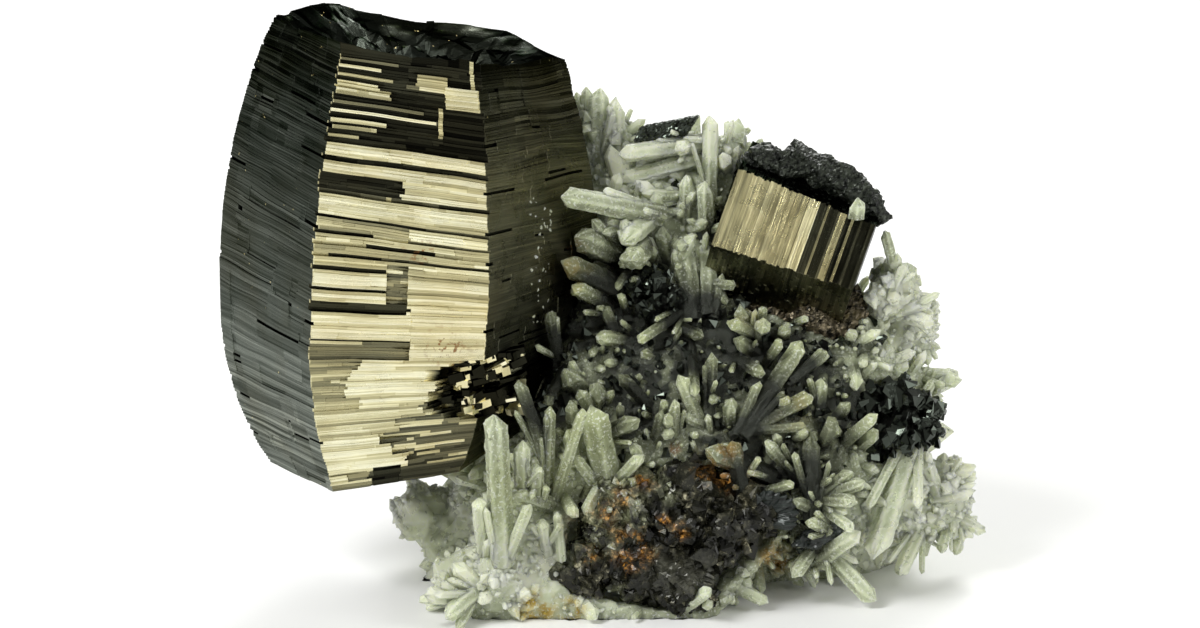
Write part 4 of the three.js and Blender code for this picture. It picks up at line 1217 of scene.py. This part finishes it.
def pyrrhotite_material():
    """Bronze metal with fine lines along the plates, bright as painted reflection, nearly black as painted
    shade.
    """
    look = Look("pyrrhotite", 0.3, metallic=1.0)
    flat = look.node("CombineXYZ", {"X": look.attribute("across"), "Y": look.attribute("level")})
    streaks = look.noise(1.0, 4.0, 0.7, look.stretched(flat, (0.16, 9.0, 1.0)))
    ledges = look.noise(1.0, 2.0, vector=look.stretched(flat, (0.3, 2.2, 1.0)))
    patches = look.noise(260.0)
    clouds = look.noise(110.0, 2.0)
    cool = look.attribute("cool")
    # The tone is painted reflection and shade, varied along the plates' lines; the cool faces get their own
    # darker colours
    both = look.varied(look.varied(look.attribute("tone"), streaks, 0.8), ledges, 0.4)
    metal = look.ramp(
        both, (0.0, (0.004, 0.004, 0.003)), (0.12, (0.05, 0.05, 0.032)), (0.25, (0.155, 0.15, 0.095)),
        (0.4, (0.3, 0.28, 0.16)), (0.6, (0.51, 0.465, 0.26)), (0.8, (0.79, 0.74, 0.45)),
        (1.0, (1.0, 0.97, 0.71)),
    )
    cool_faces = look.ramp(
        both, (0.0, (0.004, 0.005, 0.004)), (0.2, (0.04, 0.046, 0.038)), (0.45, (0.12, 0.137, 0.112)),
        (0.8, (0.32, 0.35, 0.29)), (1.0, (0.6, 0.6, 0.5)),
    )
    tinted = look.blend(cool, metal, cool_faces)
    bronze = look.blend(look.mask(clouds, 0.4, 0.65, 0.3), tinted, (0.75, 0.6, 0.36), "MULTIPLY")
    worn = look.blend(0.3, bronze, look.ramp(patches, (0.3, 0.4), (0.7, 1.0)), "MULTIPLY")
    specks = look.times(look.mask(look.noise(1700.0), 0.56, 0.62), look.attribute("rust"))
    # Painted glints: small bright flecks on the cool faces
    painted_glints = look.times(look.mask(look.noise(1300.0, 2.0), 0.74, 0.76, 0.8), cool)
    spotted = look.blend(specks, worn, (0.26, 0.12, 0.04))
    look.set(
        Base_Color=look.blend(painted_glints, spotted, (0.8, 0.68, 0.35)),
        Specular_Tint=look.ramp(both, (0.1, 0.08), (0.55, 1.0)),
        Roughness=look.ramp(patches, (0.3, 0.18), (0.75, 0.4)),
    )
    look.bump(streaks, 0.05, 0.7)
    look.bump(patches, 0.03, 0.3)
    return look.material


def quartz_material():
    """Frosted olive grey quartz, whiter at tips and edges (partly painted highlight), painted shade in
    hollows, stained.
    """
    look = Look("quartz", 0.4, ior=1.54)
    look.set(Subsurface_Weight=0.7, Subsurface_Radius=(1.0, 1.0, 0.7), Subsurface_Scale=0.0008)
    rise, smoke_and_shade = look.attribute("rise"), look.attribute("smoke_and_shade")
    cloud = look.noise(300.0, 4.0)
    # Whiter with frost, tips and pale sugary quartz; the pale spots also paint light on masses in shade, and
    # the edges are partly painted highlight
    frost_and_light = look.weighed(
        (cloud, 0.5), (look.attribute("pale"), 0.42), (rise, 0.4), (look.attribute("edge"), 0.26),
    )
    body = look.ramp(
        frost_and_light, (0.15, (0.2, 0.215, 0.13)), (0.42, (0.4, 0.43, 0.285)), (0.7, (0.69, 0.745, 0.53)),
        (0.95, (0.93, 0.98, 0.75)),
    )
    # Darker in the druse's hollow: partly a smoky tint, partly painted shade
    shade = look.ramp(smoke_and_shade, (0.0, 1.0), (1.0, (0.7, 0.71, 0.58)))
    colour = look.blend(1.0, body, shade, "MULTIPLY")
    colour = look.blend(look.times(look.attribute("green"), 0.5), colour, (0.42, 0.46, 0.2))
    blotch = look.mask(look.noise(600.0, 4.0), 0.4, 0.6)
    for stain, tint in (("yellow", (0.62, 0.43, 0.07)), ("rust", (0.36, 0.13, 0.02))):
        colour = look.blend(look.times(look.attribute(stain), blotch), colour, tint)
    # Painted shade: nearly black low down in the hollow
    hollow_shade = look.times(smoke_and_shade, look.maths("SUBTRACT", 1.0, rise))
    colour = look.blend(look.mask(hollow_shade, 0.1, 0.5), colour, (0.006, 0.006, 0.004))
    # Dark pits: painted shade in small holes
    pits = look.ramp(look.noise(1500.0, 2.0), (0.28, 0.3), (0.35, 1.0))
    colour = look.blend(0.7, colour, pits, "MULTIPLY")
    # Painted sparkle: white specks that stand for glints, left out where the shade is painted
    glint_spots = look.mask(look.noise(3600.0, 1.0), 0.58, 0.64, 0.8)
    sparkle = look.times(glint_spots, look.ramp(hollow_shade, (0.1, 1.0), (0.5, 0.0)))
    look.set(
        Base_Color=look.blend(sparkle, colour, (0.9, 0.93, 0.82)),
        Transmission_Weight=look.ramp(rise, (0.1, 0.45), (0.9, 0.2)),
        Specular_Tint=(0.93, 1.0, 0.86),
        Roughness=look.ramp(cloud, (0.35, 0.14), (0.65, 0.38)),
    )
    look.bump(look.node("TexVoronoi", {"Scale": 2600.0}, "Distance"), 0.04, 0.6)
    look.bump(look.noise(900.0), 0.06, 0.5)
    return look.material


def ore_material():
    """Dark broken sulphide, its bright flecks partly painted glints, with rust, mossy grey-green where quartz
    grew in.
    """
    look = Look("ore", 0.3, metallic=0.35, ior=1.42)
    grains = look.noise(900.0, 6.0, 0.75)
    wide = look.noise(300.0, 6.0, 0.75)
    # The top of this ramp paints bright flecks, partly metallic grains and partly painted glints
    dark = look.ramp(
        look.weighed((look.attribute("grain"), 0.25), (grains, 0.8)), (0.4, (0.003, 0.003, 0.002)),
        (0.58, (0.018, 0.018, 0.011)), (0.68, (0.09, 0.085, 0.055)), (0.76, (0.6, 0.56, 0.38)),
    )
    soot = look.ramp(grains, (0.4, (0.02, 0.02, 0.014)), (0.62, (0.08, 0.08, 0.06)))
    moss = look.ramp(
        grains, (0.4, (0.03, 0.03, 0.018)), (0.52, (0.15, 0.16, 0.09)), (0.68, (0.42, 0.44, 0.3)),
    )
    rust = look.ramp(
        grains, (0.4, (0.02, 0.01, 0.003)), (0.52, (0.13, 0.058, 0.012)), (0.62, (0.8, 0.36, 0.045)),
    )
    moss_at = look.times(look.attribute("moss"), look.mask(wide, 0.4, 0.5))
    rust_at = look.times(look.attribute("rust"), look.mask(wide, 0.47, 0.57))
    sooty = look.blend(look.attribute("flat"), dark, soot)
    covered = look.maths("MAXIMUM", rust_at, moss_at)
    look.set(
        Base_Color=look.blend(rust_at, look.blend(moss_at, sooty, moss), rust),
        Metallic=look.blend(covered, (0.35, 0.35, 0.35), (0.0, 0.0, 0.0)),
        Roughness=look.ramp(grains, (0.35, 0.08), (0.65, 0.34)),
    )
    look.bump(grains, 0.08, 0.5)
    return look.material


def sphalerite_material():
    """Black, glassy crystals with a strong glint."""
    look = Look("sphalerite", 0.12, ior=1.55)
    cloud = look.noise(700.0, 4.0)
    both = look.weighed((look.attribute("grain"), 0.3), (cloud, 0.7))
    look.set(
        Base_Color=look.ramp(
            both, (0.35, (0.002, 0.002, 0.002)), (0.7, (0.008, 0.008, 0.007)), (0.85, (0.05, 0.05, 0.042)),
        ),
        Specular_Tint=(0.85, 1.0, 0.82),
        Roughness=look.ramp(cloud, (0.4, 0.04), (0.7, 0.22)),
    )
    look.bump(look.noise(1600.0), 0.05, 0.6)
    return look.material


def rough_material(name, first, second, metallic):
    """Rough sulphide of small glinting facets between two colours."""
    look = Look(name, 0.3, metallic=metallic)
    cloud = look.noise(1100.0, 5.0, 0.7)
    both = look.weighed((cloud, 0.6), (look.attribute("grain"), 0.5))
    look.set(
        Base_Color=look.ramp(both, (0.35, first), (0.8, second)),
        Roughness=look.ramp(cloud, (0.35, 0.16), (0.7, 0.5)),
    )
    look.bump(cloud, 0.12, 0.8)
    return look.material


def striated_blade_material():
    """Dark satin blade with fine lines along it."""
    look = Look("dark_blade", 0.28, metallic=0.3)
    lines = look.noise(1.0, vector=look.stretched(look.where, (600.0, 600.0, 4000.0)))
    look.set(Base_Color=look.ramp(lines, (0.35, (0.004, 0.005, 0.004)), (0.7, (0.045, 0.055, 0.05))))
    look.bump(lines, 0.08, 0.8)
    return look.material


def floor_material():
    look = Look("pale_floor", 0.6)
    look.set(Base_Color=look.ramp(look.noise(3.0, 2.0), (0.3, 0.9), (0.7, 0.92)))
    return look.material


# The stage: a pale floor, soft studio light and the photograph's camera
def make_camera():
    """The camera at the photograph's angle, aimed at its centre."""
    data = bpy.data.cameras.new("photo_camera")
    data.lens = VIEW_LENS
    data.sensor_width = SENSOR_WIDTH
    data.clip_start = 0.01
    camera = bpy.data.objects.new("photo_camera", data)
    camera.location = EYE * MM
    camera.rotation_euler = Vector(FORWARD).to_track_quat("-Z", "Y").to_euler()
    bpy.context.scene.collection.objects.link(camera)
    bpy.context.scene.camera = camera


def make_floor():
    half = FLOOR_HALF_WIDTH
    corners = [(-half, -half, 0), (half, -half, 0), (half, half, 0), (-half, half, 0)]
    mesh = bpy.data.meshes.new("pale_floor")
    mesh.from_pydata(corners, [], [(0, 1, 2, 3)])
    mesh.materials.append(floor_material())
    floor = bpy.data.objects.new("pale_floor", mesh)
    bpy.context.scene.collection.objects.link(floor)


def soft_light(name, place_mm, target_mm, size_mm, power):
    data = bpy.data.lights.new(name, "AREA")
    data.shape = "SQUARE"
    data.size = size_mm * MM
    data.energy = power
    light = bpy.data.objects.new(name, data)
    light.location = Vector(place_mm) * MM
    light.rotation_euler = (Vector(target_mm) - Vector(place_mm)).to_track_quat("-Z", "Y").to_euler()
    bpy.context.scene.collection.objects.link(light)


def make_lights():
    middle = (0, 0, 25)
    soft_light("key", (-420, -360, 520), middle, 280, 4.4)
    soft_light("fill", (520, -300, 300), middle, 360, 1.6)
    soft_light("rim", (100, 520, 460), middle, 360, 2.6)
    world = bpy.data.worlds.new("studio")
    world.use_nodes = True
    background = world.node_tree.nodes["Background"]
    background.inputs["Color"].default_value = (0.99, 1.0, 0.94, 1)
    background.inputs["Strength"].default_value = 0.42
    bpy.context.scene.world = world


make_camera()
make_floor()
make_lights()
bpy.context.scene.view_settings.view_transform = "Standard"

metal = pyrrhotite_material()
quartz = quartz_material()
ore = ore_material()
sphalerite = sphalerite_material()

# The large pyrrhotite crystal
piece("pyrrhotite_plates_large", barrel_shape(), metal, replaces="pyrrhotite_crystal_large")
piece("pyrrhotite_broken_blocks", crumb_blocks(), metal, spotted=False)

# The small pyrrhotite crystal with its rough crust and the massive part under it
piece(
    "pyrrhotite_plates_small", small_shape(), metal,
    replaces="pyrrhotite_crystal_small", spotted=False,
)
black = rough_material("black_crust", (0.002, 0.003, 0.002), (0.036, 0.042, 0.03), 0.6)
brown = rough_material("massive", (0.012, 0.011, 0.008), (0.24, 0.2, 0.13), 0.8)
crust, _ = crust_shape(lumps(CRUST_LUMPS), voxel=0.24, cell=0.6, seed=21)
piece("pyrrhotite_black_crust", crust, black)
massive, _ = crust_shape(lumps(MASSIVE_LUMPS), voxel=0.26, cell=0.7, seed=22)
piece("pyrrhotite_massive", massive, brown)

# The quartz druse
quartz_clouds = [FRONT_BLOCK, BACK_BLOCK, *lumps(QUARTZ_LUMPS), *lumps(BACK_LUMPS)]
druse, druse_skin = crust_shape(
    quartz_clouds, voxel=CRUST_VOXEL, cell=1.2, seed=11, tumble=0.45, sockets=SOCKETS,
)
piece("quartz_crust", druse, quartz, replaces="quartz_druse", smooth=True)
NEEDLE_GROUPS = {
    "quartz_needles_top": [(1, BEHIND_THE_BARREL), (101, ALONG_THE_TOP), (201, UPPER_MIDDLE)],
    "quartz_needles_middle": [(301, BESIDE_THE_BARREL), (401, MIDDLE), (501, RIGHT_OF_MIDDLE)],
    "quartz_needles_lower": [(601, LOWER_LEFT), (701, LOWER_RIGHT), (801, FAR_RIGHT)],
}
for name, lists in NEEDLE_GROUPS.items():
    piece(name, needles(lists), quartz)
piece("quartz_needles_back", back_needles(), quartz)
druse_points = druse_skin[0]
druse_depth = druse_points[:, 1]
in_hollow = spots(druse_points, FRONT_MARKS["smoke_and_shade"])
sugary = np.clip(spots(druse_points, FRONT_MARKS["pale"]), 0, 1)
open_skin = mix(0.6, 1, sugary) * (1 - 0.78 * in_hollow) * (1 - spots(druse_points, SMOOTH_SPOTS))
front_chance = open_skin * np.clip((9 - druse_depth) / 5, 0, 1)
back_chance = np.clip((druse_depth - 3) / 5, 0, 1)
front_sprouts = scattered(druse_skin, front_chance, 1900, 5, sprout, clear_of=TAKEN)
piece("quartz_sprouts_front", front_sprouts, quartz)
back_sprouts = scattered(druse_skin, back_chance, 900, 6, sprout, clear_of=TAKEN)
piece("quartz_sprouts_back", back_sprouts, quartz)
shard_chance = np.maximum(in_hollow ** 2, 0.12 * back_chance)
black_shards = scattered(druse_skin, shard_chance, 1200, 7, black_shard)
piece("black_shards_in_quartz", black_shards, sphalerite)
piece("quartz_grains_on_barrel", barrel_grains(), quartz)
little = Shape()
add_crystal(little, needle(from_view(27, 12.2, -4.6), from_view(26.8, 10.4, -4.6), 1.9, 410, buried=0.4))
piece("quartz_little", little, quartz, replaces="quartz_crystal_on_small_pyrrhotite")

# The ore with its blades
ore_shape, ore_skin = crust_shape(
    lumps(ORE_LUMPS), voxel=0.3, cell=1.8, seed=61, flatness=0.92, trim=trim_ore_face,
)
piece("ore_mass", ore_shape, ore, replaces="sulphide_ore")
ore_chance = 1 - 0.97 * spots(ore_skin[0], FRONT_MARKS["flat"])
piece("ore_shards", scattered(ore_skin, ore_chance, 620, 62, ore_shard), ore)
moss_chance = spots(ore_skin[0], FRONT_MARKS["moss"]) * 0.8
piece("quartz_grains_on_ore", scattered(ore_skin, moss_chance, 170, 63, quartz_grain), quartz)

BLADE_FOOT = from_view(16.4, -21.5, -12)
blades = Shape()
for i in range(11):
    angle = -0.7 + 0.27 * i
    blade_tip = from_view(17.6 + 3.2 * math.sin(angle), -21 + 2.6 * math.cos(angle), -14)
    add_crystal(blades, needle(blade_tip, BLADE_FOOT, 0.8 + 0.7 * scatter(i), 300 + i))
blade_metal = striated_blade_material()
piece("ore_blades", blades, blade_metal)

# The sphalerite and the dark blade
right = cluster_shape(RIGHT_SPHALERITE_LUMPS, 34, (0.5, 1.1), 71)
piece("sphalerite_right", right, sphalerite, replaces="sphalerite_cluster_right")
centre = cluster_shape(CENTRE_SPHALERITE_LUMPS, 26, (0.35, 0.8), 81)
piece("sphalerite_centre", centre, sphalerite, replaces="sphalerite_cluster_centre")
top_blade, _ = crust_shape([blade_cloud(TOP_BLADE)], voxel=0.2, cell=0.6, seed=91, flatness=0.8, tumble=0.35)
piece("sphalerite_blade", top_blade, sphalerite, replaces="sphalerite_blade_top")
lower_blade, _ = crust_shape(
    [blade_cloud(LOWER_BLADE)], voxel=0.2, cell=0.9, seed=92, flatness=0.7, tumble=0.2,
)
piece("dark_blade", lower_blade, blade_metal, replaces="dark_blade_lower")
